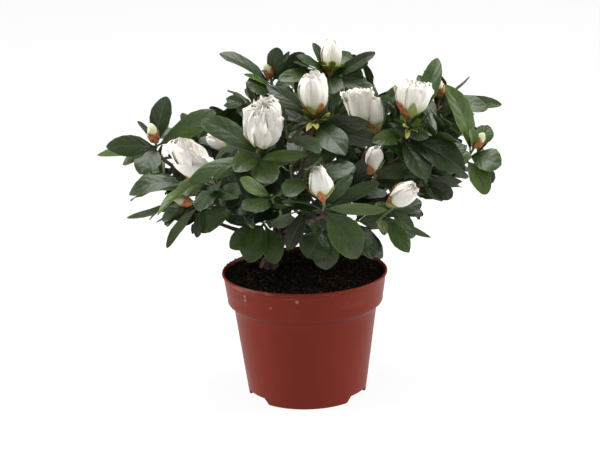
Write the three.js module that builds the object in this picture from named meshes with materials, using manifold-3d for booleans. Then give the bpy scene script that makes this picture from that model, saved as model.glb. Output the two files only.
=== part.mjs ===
// A potted azalea in half-open white bloom: pot, compost, trunk, boughs and masses of foliage.
// Millimetres, +Z up. The origin is the middle of the pot's flat underside. The plant's face is
// towards -Y. Each mass is one solid of twigs, leaves and flowers that keeps to its own space.
import * as THREE from 'three';
import { mergeVertices } from 'three/addons/utils/BufferGeometryUtils.js';
import Module from 'manifold-3d';

const wasm = await Module();
wasm.setup();

// Driving dimensions
const GAP = 0.3;
const POT = {
  height: 92, rimRadius: 60, beadRadius: 1.2, collarTop: 59, collarFoot: 56.4, collarDepth: 22,
  ledge: 3.6, shoulderRadius: 52, baseRadius: 43, wall: 1.5, floorLift: 4.6, padRadius: 16,
  facets: 48,
};
const NOTCH = { count: 3, firstAngle: -30, width: 24, height: 4.7 };
const DRAIN = { count: 6, ring: 27, radius: 3.4 };
const COMPOST = { top: 90.8, flatRadius: 44, edgeDrop: 0.8 };
const TRUNK = {
  foot: [-26, 12, COMPOST.top + GAP], fork: [-20, 9, 107],
  flareRadius: 8, footRadius: 6.2, forkRadius: 4.8, flareHeight: 5, sides: 9,
};
const LEADERS = {
  left: [-35, 3, 119],
  front: [-15, -9, 122],
  right: [-3, 9, 124],
  back: [-19, 24, 121],
};
const LEADER = { radius: 3.4, tipRadius: 2.9, sides: 6 };
const BOUGH = {
  radius: 1.9, tipRadius: 1.5, stub: 10.5, firstShare: 0.42, shortShare: 0.32, sides: 5, steps: 3,
};
const STEM = { lead: 4, reach: 0.8, sides: 5 };
const TWIG = {
  radius: 1.5, tipRadius: 1.0, sides: 3, shootRun: 20, straight: 0.7, sag: 0.06, crossing: 40,
  joins: [0.5, 0.08, 0.92, 0.29, 0.71], joinStep: 0.618, sways: [0, 0.16, -0.16, 0.3, -0.3],
};
const LEAF = {
  length: 37, thickness: 1.2, sink: 0.15, waist: 3.6, spread: 0.118, spacing: 2.8, turn: 137.5,
  lowOpening: 98, openingFall: 50, crossing: 0.25, faceCrossing: 4, faceUp: [0, -0.8, 0.4],
};
const CROWN = {
  middle: [2, 0, 180], reach: [116, 97, 56], heart: [-6, 4, 128],
  top: 226, fallLeft: 0.5, fallRight: 0.2, floor: 132, floorRise: 0.2,
};
const FILL = {
  outer: 90, outerClear: 25, inner: 20, innerScale: 0.56, innerClear: 27, jitter: 0.16,
  bloomFloor: 165, bloomBack: 10, flowers: ['cup', 'rolled', 'candle', 'rolled', 'bud', 'bud'], seed: 41,
};
const MASS_SEED = 101;

// A leaf is first tried as drawn, then folded up along its shoot and turned about it by these
const LEAF_TRIALS = [0, 0.12, 0.24, 0.36, 0.5].flatMap(
  (fold) => [0, 14, -14, 30, -30, 50, -50].map((turn) => ({ fold, turn })));

// Clearance inside the edge of a mass's space, and beyond the bark of a limb
const SPACE_EDGE = 0.5;
const LIMB_ROOM = 0.4;

// Shortest edges kept on a joined solid, finest first, and the least distance between vertices
const FINEST_EDGES = [0.04, 0.06, 0.09, 0.13, 0.18, 0.25];
const WELD = 0.002;

// Each mass of foliage: the middle of its space, the leader that carries it, and how far its
// bough arches up. A mass close to the trunk has no bough, and its stem meets the leader's stub.
const MASSES = [
  { name: 'far_left', middle: [-110, -2, 188], leader: 'left', arch: 5 },
  { name: 'low_left', middle: [-94, -18, 144], leader: 'left', arch: -2 },
  { name: 'left', middle: [-64, -26, 184], leader: 'left', arch: 2 },
  { name: 'back_left', middle: [-72, 56, 174], leader: 'left', arch: 2 },
  { name: 'front', middle: [-34, -82, 194], leader: 'front', arch: 3 },
  { name: 'front_low', middle: [16, -96, 160], leader: 'front', arch: 2 },
  { name: 'under_front', middle: [-16, -44, 124], leader: 'front', arch: 0 },
  { name: 'upper_front', middle: [10, -52, 214], leader: 'front', arch: 2 },
  { name: 'heart', middle: [-16, -8, 168], leader: 'front', arch: 0 },
  { name: 'inner_right', middle: [48, -20, 182], leader: 'front', arch: 2 },
  { name: 'low_right', middle: [62, -54, 138], leader: 'front', arch: 2 },
  { name: 'top', middle: [26, 18, 236], leader: 'right', arch: 0 },
  { name: 'right_front', middle: [86, -46, 196], leader: 'right', arch: 2 },
  { name: 'right_top', middle: [106, 8, 212], leader: 'right', arch: 6 },
  { name: 'far_right', middle: [118, 0, 162], leader: 'right', arch: -3 },
  { name: 'back_right', middle: [68, 68, 182], leader: 'right', arch: 2 },
  { name: 'top_left', middle: [-34, 40, 222], leader: 'back', arch: 2 },
  { name: 'back', middle: [-6, 88, 184], leader: 'back', arch: 3 },
  { name: 'low_back', middle: [10, 58, 140], leader: 'back', arch: 0 },
];
const BOUGHLESS = ['under_front', 'heart'];

// Flowers: rings of distance along the flower and radius there, from its foot to its rim
const FLOWERS = {
  bud: { rings: [[-1, 1.4], [3, 2.9], [8, 1.0]], sides: 5 },
  candle: { rings: [[-1, 2.2], [4, 5.2], [13, 6.4], [20, 4.6]], sides: 6 },
  rolled: { rings: [[-1, 3], [7, 7.6], [17, 10.2], [27, 8]], sides: 8 },
  cup: { rings: [[-1, 3], [8, 9], [18, 12.6], [27, 13]], sides: 8 },
  double: { rings: [[-1, 4], [8, 11.6], [20, 14.4], [32, 12.6], [39, 6]], sides: 8 },
};

// Shoots on the plant's face. at is the tip; leaves follow the whorl rule from turn degrees on;
// reach gives the tips of the few leaves that make the outline; face is where the flower looks.
const FACE_SHOOTS = [
  { at: [-104, 0, 190], leaves: 1, turn: 250, flower: 'bud', lean: [-0.2, 0, 1],
    reach: [[-99, 12, 219], [-137, -6, 193], [-145, 10, 180], [-113, -22, 172], [-66, -8, 206],
      [-116, 8, 205]] },
  { at: [-67, -30, 174], leaves: 3, turn: 200, flower: 'rolled', face: [-0.8, -0.25, 0.5],
    reach: [[-88, -45, 160]] },
  { at: [-86, -14, 163], leaves: 3, turn: 20, reach: [[-121, -22, 156]] },
  { at: [-71, -20, 147], leaves: 2, turn: 130, flower: 'bud', lean: [-0.7, -0.2, 0.3],
    reach: [[-101, -34, 148], [-100, -12, 134], [-76, -32, 124], [-97, -22, 117]] },
  { at: [-93, -4, 148], leaves: 2, turn: 120, lean: [-1, 0, 0.1], reach: [[-127, -8, 139]] },
  { at: [-30, -72, 197], leaves: 1, turn: 80, flower: 'double', face: [0.14, -0.4, 0.9],
    reach: [[-64, -60, 216], [-70, -88, 183], [-40, -96, 181], [-23, -98, 178], [-6, -88, 202]] },
  { at: [10, -50, 214], leaves: 1, turn: 330, flower: 'rolled', face: [-0.04, -0.12, 1],
    reach: [[-25, -40, 234], [46, -66, 213], [54, -50, 199], [32, -80, 197], [-8, -62, 222]] },
  { at: [22, 20, 234], leaves: 1, turn: 100, flower: 'candle', face: [0.06, -0.05, 1],
    reach: [[6, 33, 252], [54, 14, 247], [56, 0, 224], [-2, 20, 244], [21, -12, 222],
      [34, 40, 245]] },
  { at: [52, -18, 196], leaves: 4, turn: 150, flower: 'rolled', face: [-0.25, -0.2, 0.9] },
  { at: [60, -12, 190], leaves: 2, turn: 30, flower: 'rolled', face: [0.12, -0.3, 0.9] },
  { at: [74, -35, 203], leaves: 0, turn: 0, flower: 'cup', face: [0.1, -0.2, 1],
    reach: [[55, -22, 226], [85, -62, 200], [112, -44, 178], [86, -56, 171], [49, -50, 196],
      [84, -4, 222]] },
  { at: [101, 15, 214], leaves: 2, turn: 60, flower: 'bud', lean: [0.3, 0.1, 1],
    reach: [[98, 20, 240], [144, 20, 205], [133, 6, 202], [122, 34, 224], [116, -6, 192]] },
  { at: [124, 5, 179], leaves: 0, turn: 0, flower: 'bud', lean: [0.5, -0.1, 0.8],
    reach: [[135, 16, 193], [140, -6, 168], [133, -4, 146], [114, -10, 198], [112, -24, 166]] },
  { at: [61, -62, 153], leaves: 2, turn: 10, flower: 'candle', face: [0.7, -0.35, 0.5],
    reach: [[71, -62, 120], [76, -78, 139], [55, -70, 134], [88, -46, 127]] },
  { at: [88, -10, 158], leaves: 2, turn: 200, lean: [0.3, -0.8, -0.1],
    reach: [[107, -14, 148], [115, 8, 153], [96, 8, 139]] },
  { at: [14, -95, 165], leaves: 0, turn: 0, flower: 'candle', face: [-0.14, -0.1, 1],
    reach: [[34, -92, 127], [-22, -94, 166], [-13, -112, 172], [52, -108, 163], [50, -86, 178],
      [32, -90, 184]] },
  { at: [13, -55, 137], leaves: 2, turn: 70, lean: [0.1, -0.4, 0.2],
    reach: [[-2, -68, 116], [10, -62, 107], [24, -50, 112]] },
  { at: [38, -44, 140], leaves: 3, turn: 160, lean: [0.4, -0.5, 0.3],
    reach: [[46, -52, 109], [52, -42, 122]] },
  { at: [-29, -35, 139], leaves: 2, turn: 310, lean: [-0.1, -0.4, 0.3],
    reach: [[-42, -44, 110], [-53, -36, 122], [-19, -40, 107], [-6, -54, 148]] },
  { at: [-21, 45, 226], leaves: 1, turn: 30, flower: 'bud', face: [-0.3, -0.4, 0.8],
    reach: [[-58, 48, 242], [-17, 38, 249], [-38, 26, 222], [2, 32, 232], [-22, 78, 234]] },
  { at: [-40, 38, 208], leaves: 4, turn: 140, lean: [-0.6, -0.2, 0.6], reach: [[-58, 40, 214]] },
  { at: [51, -38, 170], leaves: 4, turn: 90, flower: 'candle', face: [0.1, -0.4, 0.9] },
  { at: [-57, 5, 183], leaves: 4, turn: 300, flower: 'bud', face: [-0.3, -0.5, 0.8] },
  { at: [-32, -24, 168], leaves: 5, turn: 60 },
  { at: [-8, -26, 176], leaves: 5, turn: 190 },
  { at: [-36, 6, 176], leaves: 4, turn: 10 },
  { at: [2, 2, 180], leaves: 4, turn: 100 },
  { at: [-30, -26, 150], leaves: 4, turn: 240 },
  { at: [4, -22, 150], leaves: 4, turn: 40 },
  { at: [22, -6, 160], leaves: 4, turn: 170 },
  { at: [-10, 18, 152], leaves: 4, turn: 290 },
  { at: [20, 26, 146], leaves: 4, turn: 80 },
  { at: [-34, 20, 148], leaves: 4, turn: 200 },
  { at: [-6, -34, 138], leaves: 4, turn: 120 },
  { at: [34, -22, 148], leaves: 4, turn: 260 },
];

// The pot's outline, up the outside from the middle of its floor and down the inside
const potOutline = () => {
  const { height, rimRadius, beadRadius, collarTop, collarFoot, collarDepth, ledge } = POT;
  const { shoulderRadius, baseRadius, wall, floorLift, padRadius } = POT;
  const collarBase = height - collarDepth;
  const shoulder = collarBase - ledge;
  const inner = (radius) => radius - wall;
  return [
    [0, 0], [padRadius, 0], [padRadius + 2.5, floorLift], [baseRadius - wall * 2, floorLift],
    [baseRadius - wall * 1.6, 0], [baseRadius, 0], [shoulderRadius, shoulder],
    [collarFoot, collarBase], [collarTop, height - 2 * beadRadius],
    [rimRadius, height - beadRadius], [rimRadius - beadRadius * 0.5, height],
    [inner(collarTop), height], [inner(collarFoot), collarBase + 0.5],
    [inner(shoulderRadius), shoulder + 0.5], [inner(baseRadius), floorLift + wall],
    [0, floorLift + wall],
  ];
};

// Small helpers for places and directions
const vec = (place) => new THREE.Vector3(...place);
const along = (from, to, share) => from.clone().lerp(to, share);
const radians = THREE.MathUtils.degToRad;

const random = (seed) => {
  let state = seed >>> 0;
  return () => {
    state = (state + 0x6d2b79f5) >>> 0;
    let mixed = Math.imul(state ^ (state >>> 15), state | 1);
    mixed = (mixed + Math.imul(mixed ^ (mixed >>> 7), mixed | 61)) ^ mixed;
    return ((mixed ^ (mixed >>> 14)) >>> 0) / 4294967296;
  };
};

// A closed shape from points and triangles, as a solid that can be joined and cut
const solidFromTriangles = (points, triangles) => new wasm.Manifold(new wasm.Mesh({
  numProp: 3,
  vertProperties: Float32Array.from(points.flatMap((point) => [point.x, point.y, point.z])),
  triVerts: Uint32Array.from(triangles.flat()),
}));

const solidFromGeometry = (geometry) => {
  geometry.deleteAttribute('normal');
  geometry.deleteAttribute('uv');
  const merged = mergeVertices(geometry, 1e-4);
  return new wasm.Manifold(new wasm.Mesh({
    numProp: 3,
    vertProperties: new Float32Array(merged.attributes.position.array),
    triVerts: new Uint32Array(merged.index.array),
  }));
};

const geometryFromSolid = (solid) => {
  const mesh = solid.getMesh();
  const geometry = new THREE.BufferGeometry();
  geometry.setAttribute('position', new THREE.BufferAttribute(mesh.vertProperties, 3));
  geometry.setIndex(new THREE.BufferAttribute(mesh.triVerts, 1));
  geometry.computeVertexNormals();
  return geometry;
};

// Whether every two vertices of a solid lie apart
const hasDistinctVertices = (solid) => {
  const { vertProperties } = solid.getMesh();
  const seen = new Set();
  for (let index = 0; index < vertProperties.length; index += 3) {
    const place = Array.from(vertProperties.subarray(index, index + 3));
    seen.add(place.map((value) => Math.round(value / WELD)).join());
  }
  return seen.size === vertProperties.length / 3;
};

// The largest outer body of a joined solid: sealed hollows are filled and loose scraps dropped.
// Short edges are smoothed away until no two vertices fall together.
const mainBody = (solid) => {
  const smoothed = (edge) => solid.simplify(edge).decompose().reduce(
    (best, body) => (body.volume() > best.volume() ? body : best));
  const edge = FINEST_EDGES.find((each) => hasDistinctVertices(smoothed(each)));
  return smoothed(edge ?? FINEST_EDGES.at(-1));
};

const headingsOf = (places) => places.map((_, step) => {
  const before = places[Math.max(step - 1, 0)];
  const after = places[Math.min(step + 1, places.length - 1)];
  return after.clone().sub(before).normalize();
});

// A tapering tube with flat ends along a run of places, square to its headings
const tube = (places, radii, sides, headings = headingsOf(places)) => {
  const points = [];
  const triangles = [];
  let side = new THREE.Vector3();
  places.forEach((place, step) => {
    const heading = headings[step];
    if (step === 0) {
      const other = Math.abs(heading.z) > 0.9 ? vec([1, 0, 0]) : vec([0, 0, 1]);
      side = other.cross(heading).normalize();
    }
    side.addScaledVector(heading, -side.dot(heading)).normalize();
    const third = heading.clone().cross(side);
    for (let corner = 0; corner < sides; corner += 1) {
      const angle = (2 * Math.PI * corner) / sides;
      points.push(place.clone()
        .addScaledVector(side, radii[step] * Math.cos(angle))
        .addScaledVector(third, radii[step] * Math.sin(angle)));
    }
  });
  for (let step = 0; step + 1 < places.length; step += 1) {
    for (let corner = 0; corner < sides; corner += 1) {
      const a = step * sides + corner;
      const b = step * sides + ((corner + 1) % sides);
      triangles.push([a, b, b + sides], [a, b + sides, a + sides]);
    }
  }
  const last = (places.length - 1) * sides;
  for (let corner = 1; corner + 1 < sides; corner += 1) {
    triangles.push([0, corner + 1, corner], [last, last + corner, last + corner + 1]);
  }
  return solidFromTriangles(points, triangles);
};

const taper = (from, to, steps) => (
  Array.from({ length: steps + 1 }, (_, step) => from + ((to - from) * step) / steps));

// A tapering tube on the part of a curve between two distances from its start
const limb = (curve, from, to, radii, sides) => {
  const total = curve.getLength();
  const shares = taper(from / total, to / total, radii.length - 1);
  return tube(shares.map((share) => curve.getPointAt(share)), radii, sides,
    shares.map((share) => curve.getTangentAt(share)));
};

// The space of a mass is all that lies nearer to its middle than to any other middle
const inSpace = (mass, place, edge) => {
  const middle = vec(mass.middle);
  return MASSES.every((other) => {
    if (other === mass) return true;
    const away = vec(other.middle);
    const apart = away.distanceTo(middle);
    const room = (place.distanceToSquared(away) - place.distanceToSquared(middle)) / (2 * apart);
    return room >= edge;
  });
};

const hasBough = (mass) => !BOUGHLESS.includes(mass.name);

const nearestMass = (place) => MASSES.reduce((best, mass) => (
  vec(mass.middle).distanceTo(place) < vec(best.middle).distanceTo(place) ? mass : best));

// A bough runs from its leader's tip, arching a little, to where it enters its mass
const boughCurve = (mass) => {
  const start = vec(LEADERS[mass.leader]);
  const middle = vec(mass.middle);
  let share = BOUGH.firstShare;
  while (!inSpace(mass, along(start, middle, share), 5) && share < 0.85) share += 0.03;
  const end = along(start, middle, share);
  if (!hasBough(mass)) end.copy(along(start, middle, BOUGH.shortShare));
  const crest = along(start, end, 0.5).add(vec([0, 0, mass.arch]));
  return new THREE.QuadraticBezierCurve3(start, crest, end);
};

const boughSolid = (curve, extra = 0) => limb(
  curve, BOUGH.stub + GAP, curve.getLength() - GAP,
  taper(BOUGH.radius + extra, BOUGH.tipRadius + extra, BOUGH.steps), BOUGH.sides);

// The trunk leans from its flared foot to the fork, where the leaders part
const trunkSolid = (curves, extra = 0) => {
  const foot = vec(TRUNK.foot);
  const fork = vec(TRUNK.fork);
  const flareTop = along(foot, fork, TRUNK.flareHeight / (fork.z - foot.z));
  const above = fork.clone().add(fork.clone().sub(foot).setLength(2));
  const shaft = [foot, foot.clone().setZ(foot.z + 0.5), flareTop, along(flareTop, fork, 0.5), above];
  const widths = [TRUNK.flareRadius, TRUNK.flareRadius, TRUNK.footRadius,
    (TRUNK.footRadius + TRUNK.forkRadius) / 2, TRUNK.forkRadius];
  const parts = [tube(shaft, widths.map((width) => width + extra), TRUNK.sides)];
  Object.values(LEADERS).forEach((place) => {
    const tip = vec(place);
    const curve = new THREE.QuadraticBezierCurve3(
      fork, along(fork, tip, 0.5).add(vec([0, 0, 3])), tip);
    const radii = taper(LEADER.radius + extra, LEADER.tipRadius + extra, 2);
    parts.push(limb(curve, 0, curve.getLength(), radii, LEADER.sides));
    parts.push(solidFromGeometry(new THREE.IcosahedronGeometry(LEADER.tipRadius + 0.5 + extra, 0)
      .translate(tip.x, tip.y, tip.z)));
  });
  curves.forEach((curve, index) => {
    const radii = taper(BOUGH.radius + 0.3 + extra, BOUGH.radius + extra, 1);
    const stub = hasBough(MASSES[index]) ? BOUGH.stub : curve.getLength() - GAP;
    parts.push(limb(curve, 0, stub, radii, BOUGH.sides));
  });
  const level = new THREE.BoxGeometry(60, 60, 40).translate(foot.x, foot.y, foot.z - 20);
  return mainBody(wasm.Manifold.union(parts).subtract(solidFromGeometry(level)));
};

// The crown's top falls away to both sides, most on the left, and its floor rises outwards
const inCrown = (at) => {
  const fall = at.x < 0 ? CROWN.fallLeft : CROWN.fallRight;
  const outward = Math.hypot(at.x, at.y);
  return at.z < CROWN.top - fall * Math.abs(at.x) && at.z > CROWN.floor + CROWN.floorRise * outward;
};

// Shoots that fill the crown evenly where the plant's face has none, over two nested shells
const fillShoots = () => {
  const draw = random(FILL.seed);
  const taken = FACE_SHOOTS.map((shoot) => vec(shoot.at));
  const shell = (count, scale, clear, flowering) => {
    const shoots = [];
    for (let index = 0; index < count; index += 1) {
      const height = 1 - (2 * (index + 0.5)) / count;
      const angle = index * Math.PI * (3 - Math.sqrt(5));
      const flat = Math.sqrt(1 - height * height);
      const jitter = [draw(), draw(), draw()].map((value) => 1 + (value - 0.5) * FILL.jitter);
      const way = [Math.cos(angle) * flat, Math.sin(angle) * flat, height];
      const at = vec(way.map((value, axis) => (
        CROWN.middle[axis] + value * CROWN.reach[axis] * scale * jitter[axis])));
      const kind = draw();
      const turn = draw() * 360;
      const leaves = 6 + Math.floor(draw() * 3);
      if (!inCrown(at) || taken.some((other) => other.distanceTo(at) < clear)) continue;
      taken.push(at);
      const flower = FILL.flowers[Math.floor(kind * 2 * FILL.flowers.length)];
      const blooms = flowering && at.z > FILL.bloomFloor && at.y > FILL.bloomBack;
      shoots.push({ at: at.toArray(), leaves, turn, flower: blooms ? flower : undefined });
    }
    return shoots;
  };
  return [
    ...shell(FILL.outer, 1, FILL.outerClear, true),
    ...shell(FILL.inner, FILL.innerScale, FILL.innerClear, false),
  ];
};

const shootHeading = (shoot) => {
  if (shoot.lean) return vec(shoot.lean).normalize();
  const outward = vec(shoot.at).sub(vec(CROWN.heart)).normalize();
  return outward.add(vec([0, 0, 0.55])).normalize();
};

// A leaf is a thin blade from its root to its tip, widest past the middle and arched along it
const leafSolid = ({ root, heading, up, length, arch }) => {
  const face = up.clone().addScaledVector(heading, -up.dot(heading)).normalize();
  const side = face.clone().cross(heading);
  const half = LEAF.waist + LEAF.spread * length;
  const at = (share, across, lift) => root.clone()
    .addScaledVector(heading, share * length)
    .addScaledVector(side, across * half)
    .addScaledVector(face, lift + arch * length * 4 * share * (1 - share));
  const points = [
    at(-LEAF.sink / length, 0, 0), at(0.38, 0.86, 0), at(0.76, 0.84, 0), at(1, 0, 0),
    at(0.76, -0.84, 0), at(0.38, -0.86, 0), at(0.45, 0, LEAF.thickness / 2),
    at(0.45, 0, -LEAF.thickness / 2),
  ];
  const triangles = [];
  for (let corner = 0; corner < 6; corner += 1) {
    const next = (corner + 1) % 6;
    triangles.push([corner, 6, next], [corner, next, 7]);
  }
  return { points, solid: solidFromTriangles(points, triangles) };
};

// A three-sided twig sags from the stem and then runs straight along its shoot
const twigSolid = (join, tip, heading, run, sway) => {
  const neck = tip.clone().addScaledVector(heading, -run);
  const span = neck.clone().sub(join);
  const bend = along(join, neck, 0.5)
    .add(vec([-span.y * sway, span.x * sway, -TWIG.sag * span.length()]));
  const points = [join, bend, neck, tip];
  const radii = [TWIG.radius * 0.6, TWIG.radius, TWIG.radius * 0.9, TWIG.tipRadius];
  return { points, solid: tube(points, radii, TWIG.sides) };
};

// Leaves spiral up a shoot by the golden angle. The widest spread ones sit lowest on it.
const shootLeaves = (shoot, heading, run, draw) => {
  const tip = vec(shoot.at);
  const across = vec([0.31, -0.95, 0.08]).cross(heading).normalize();
  const other = heading.clone().cross(across);
  const leaves = Array.from({ length: shoot.leaves }, (_, index) => {
    const height = shoot.leaves > 1 ? index / (shoot.leaves - 1) : 0.5;
    const angle = radians(shoot.turn + index * LEAF.turn + (draw() - 0.5) * 24);
    const opening = radians(LEAF.lowOpening - LEAF.openingFall * height + (draw() - 0.5) * 16);
    const length = LEAF.length * (1.08 - 0.34 * height * height) * (0.88 + draw() * 0.24);
    const arch = 0.03 + draw() * 0.06;
    const ray = across.clone().multiplyScalar(Math.cos(angle))
      .addScaledVector(other, Math.sin(angle));
    const way = heading.clone().multiplyScalar(Math.cos(opening))
      .addScaledVector(ray, Math.sin(opening));
    return { opening, arch, onFace: false, end: way.multiplyScalar(length).add(tip) };
  });
  (shoot.reach || []).forEach((place) => {
    const end = vec(place);
    leaves.push({ opening: end.clone().sub(tip).angleTo(heading), arch: 0.05, onFace: true, end });
  });
  leaves.sort((one, two) => two.opening - one.opening);
  return leaves.map((leaf, index) => {
    const below = Math.min(2 + (leaves.length - 1 - index) * LEAF.spacing, run * 0.9);
    const root = tip.clone().addScaledVector(heading, -below);
    const up = leaf.onFace ? vec(LEAF.faceUp).addScaledVector(heading, 0.4) : heading;
    return { root, heading: leaf.end.clone().sub(root).normalize(), up,
      length: leaf.end.distanceTo(root), arch: leaf.arch, onFace: leaf.onFace };
  }).sort((one, two) => two.onFace - one.onFace);
};

// A flower is a faceted cup or bud along its own axis
const flowerSolid = (kind, foot, heading) => {
  const { rings, sides } = FLOWERS[kind];
  const places = rings.map(([distance]) => foot.clone().addScaledVector(heading, distance));
  return { points: places, solid: tube(places, rings.map(([, radius]) => radius), sides) };
};

// One mass: a stem on from its bough, twigs from the stem to every shoot, then leaves and flowers.
// A leaf that would leave the space or touch a limb is folded up along its shoot, or skipped.
const massSolid = (mass, curve, shoots, limbs, seed) => {
  const draw = random(seed);
  const entry = curve.getPointAt(1);
  const lead = entry.clone().addScaledVector(curve.getTangentAt(1), STEM.lead);
  const stemEnd = along(entry, vec(mass.middle), STEM.reach);
  const parts = [tube([entry, lead, stemEnd], taper(BOUGH.tipRadius, BOUGH.tipRadius, 2), STEM.sides)];
  const crossing = (solid) => parts.reduce(
    (sum, other) => sum + Math.abs(other.intersect(solid).volume()), 0);
  const fits = ({ points, solid }) => points.every((point) => inSpace(mass, point, SPACE_EDGE))
    && limbs.every((limbSolid) => limbSolid.intersect(solid).isEmpty());
  const addFirst = (trials, room) => trials.some((make) => {
    const { points, solid } = make();
    const added = fits({ points, solid }) && crossing(solid) < room;
    if (added) parts.push(solid);
    return added;
  });
  shoots.forEach((shoot, index) => {
    const tip = vec(shoot.at);
    const heading = shootHeading(shoot);
    const joins = TWIG.joins.map(
      (share) => along(lead, stemEnd, (share + index * TWIG.joinStep) % 1));
    const nearest = Math.min(...joins.map((join) => join.distanceTo(tip)));
    const run = Math.min(TWIG.shootRun, TWIG.straight * nearest);
    const leaves = shootLeaves(shoot, heading, run, draw);
    const twigs = TWIG.sways.flatMap(
      (sway) => joins.map((join) => () => twigSolid(join, tip, heading, run, sway)));
    if (!addFirst(twigs, TWIG.crossing)) return;
    if (shoot.flower) {
      const face = shoot.face ? vec(shoot.face).normalize() : heading;
      const kinds = [shoot.flower, 'candle', 'bud'];
      addFirst(kinds.map((kind) => () => flowerSolid(kind, tip, face)), Infinity);
    }
    leaves.forEach((leaf) => {
      const trials = LEAF_TRIALS.map(({ fold, turn }) => () => leafSolid({
        ...leaf,
        heading: leaf.heading.clone().applyAxisAngle(heading, radians(turn))
          .lerp(heading, fold).normalize(),
        length: leaf.length * (1 - 0.3 * fold),
      }));
      addFirst(trials, leaf.onFace ? LEAF.faceCrossing : LEAF.crossing);
    });
  });
  return mainBody(wasm.Manifold.union(parts));
};

// A closed outline of radius and height, turned about the upright axis
const turned = (outline) => solidFromGeometry(
  new THREE.LatheGeometry(outline, POT.facets).rotateX(Math.PI / 2));

// The pot: a turned shell with three notches under its foot and drain holes in its floor
const potSolid = () => {
  const outline = potOutline().map(([radius, height]) => new THREE.Vector2(radius, height));
  let shell = turned(outline);
  for (let index = 0; index < NOTCH.count; index += 1) {
    const angle = radians(NOTCH.firstAngle + (360 * index) / NOTCH.count);
    const cutter = new THREE.BoxGeometry(14, NOTCH.width, 2 * NOTCH.height)
      .translate(POT.baseRadius, 0, 0).rotateZ(angle);
    shell = shell.subtract(solidFromGeometry(cutter));
  }
  for (let index = 0; index < DRAIN.count; index += 1) {
    const angle = (2 * Math.PI * index) / DRAIN.count;
    const drill = new THREE.CylinderGeometry(DRAIN.radius, DRAIN.radius, 20, 8).rotateX(Math.PI / 2)
      .translate(DRAIN.ring * Math.cos(angle), DRAIN.ring * Math.sin(angle), POT.floorLift);
    shell = shell.subtract(solidFromGeometry(drill));
  }
  return mainBody(shell);
};

// The compost fills the pot to just under its rim, with a clearance all round
const compostSolid = () => {
  const { height, collarTop, collarFoot, collarDepth, ledge } = POT;
  const { shoulderRadius, baseRadius, wall } = POT;
  const collarBase = height - collarDepth;
  const inset = wall + GAP + 0.2;
  const edge = COMPOST.top - COMPOST.edgeDrop;
  const edgeShare = (edge - collarBase) / collarDepth;
  const edgeRadius = collarFoot + (collarTop - collarFoot) * edgeShare - inset;
  const outline = [
    [0, POT.floorLift + wall + GAP], [baseRadius - inset, POT.floorLift + wall + GAP],
    [shoulderRadius - inset - 0.2, collarBase - ledge], [collarFoot - inset - 0.6, collarBase + 1],
    [edgeRadius - 0.4, edge], [COMPOST.flatRadius, COMPOST.top], [0, COMPOST.top],
  ].map(([radius, level]) => new THREE.Vector2(radius, level));
  return turned(outline);
};

const FINISHES = {
  plastic: { color: 0xa8503a, roughness: 0.55, metalness: 0 },
  peat: { color: 0x201812, roughness: 1, metalness: 0 },
  bark: { color: 0x5c4030, roughness: 0.9, metalness: 0 },
  leaf: { color: 0x34452b, roughness: 0.5, metalness: 0 },
};

const part = new THREE.Group();

const addMesh = (name, solid, finish) => {
  const material = new THREE.MeshStandardMaterial(FINISHES[finish]);
  const mesh = new THREE.Mesh(geometryFromSolid(solid), material);
  mesh.name = name;
  part.add(mesh);
};

const curves = MASSES.map(boughCurve);
const shoots = [...FACE_SHOOTS, ...fillShoots()];
const limbRooms = [
  trunkSolid(curves, LIMB_ROOM),
  ...curves.filter((_, index) => hasBough(MASSES[index])).map((curve) => boughSolid(curve, LIMB_ROOM)),
];

addMesh('pot', potSolid(), 'plastic');
addMesh('compost', compostSolid(), 'peat');
addMesh('trunk', trunkSolid(curves), 'bark');
MASSES.forEach((mass, index) => {
  const own = shoots.filter((shoot) => nearestMass(vec(shoot.at)) === mass);
  const foliage = massSolid(mass, curves[index], own, limbRooms, MASS_SEED + index);
  if (hasBough(mass)) addMesh(`bough_${mass.name}`, boughSolid(curves[index]), 'bark');
  addMesh(`foliage_${mass.name}`, foliage, 'leaf');
});

export default part;
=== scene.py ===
# A potted azalea in half-open white bloom. Sizes and places are in millimetres in the part's own
# frame: +Z up, the origin under the middle of the pot, and the plant's face towards -Y.
import math
import random
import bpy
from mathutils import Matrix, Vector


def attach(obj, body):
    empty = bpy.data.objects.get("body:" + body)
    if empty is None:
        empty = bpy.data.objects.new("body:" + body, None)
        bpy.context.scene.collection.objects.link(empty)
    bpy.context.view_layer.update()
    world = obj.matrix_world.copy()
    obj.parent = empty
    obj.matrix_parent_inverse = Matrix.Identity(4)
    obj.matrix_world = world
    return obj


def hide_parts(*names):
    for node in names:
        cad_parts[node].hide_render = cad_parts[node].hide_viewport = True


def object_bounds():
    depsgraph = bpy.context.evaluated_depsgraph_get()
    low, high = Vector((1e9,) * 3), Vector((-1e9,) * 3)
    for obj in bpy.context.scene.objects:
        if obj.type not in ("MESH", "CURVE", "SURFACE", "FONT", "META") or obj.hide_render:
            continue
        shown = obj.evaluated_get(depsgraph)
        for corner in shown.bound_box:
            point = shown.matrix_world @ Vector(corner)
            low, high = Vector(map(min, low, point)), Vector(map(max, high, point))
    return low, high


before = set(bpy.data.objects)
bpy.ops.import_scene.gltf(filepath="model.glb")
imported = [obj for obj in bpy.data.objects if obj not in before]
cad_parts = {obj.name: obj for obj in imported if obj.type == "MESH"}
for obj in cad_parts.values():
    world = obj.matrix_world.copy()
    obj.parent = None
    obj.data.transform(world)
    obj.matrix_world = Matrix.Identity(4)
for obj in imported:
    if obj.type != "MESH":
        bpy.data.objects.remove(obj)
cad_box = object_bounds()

from types import SimpleNamespace

import bpy
import numpy as np
from mathutils import Matrix, Vector, noise
from mathutils.bvhtree import BVHTree

MM = 0.001

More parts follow.
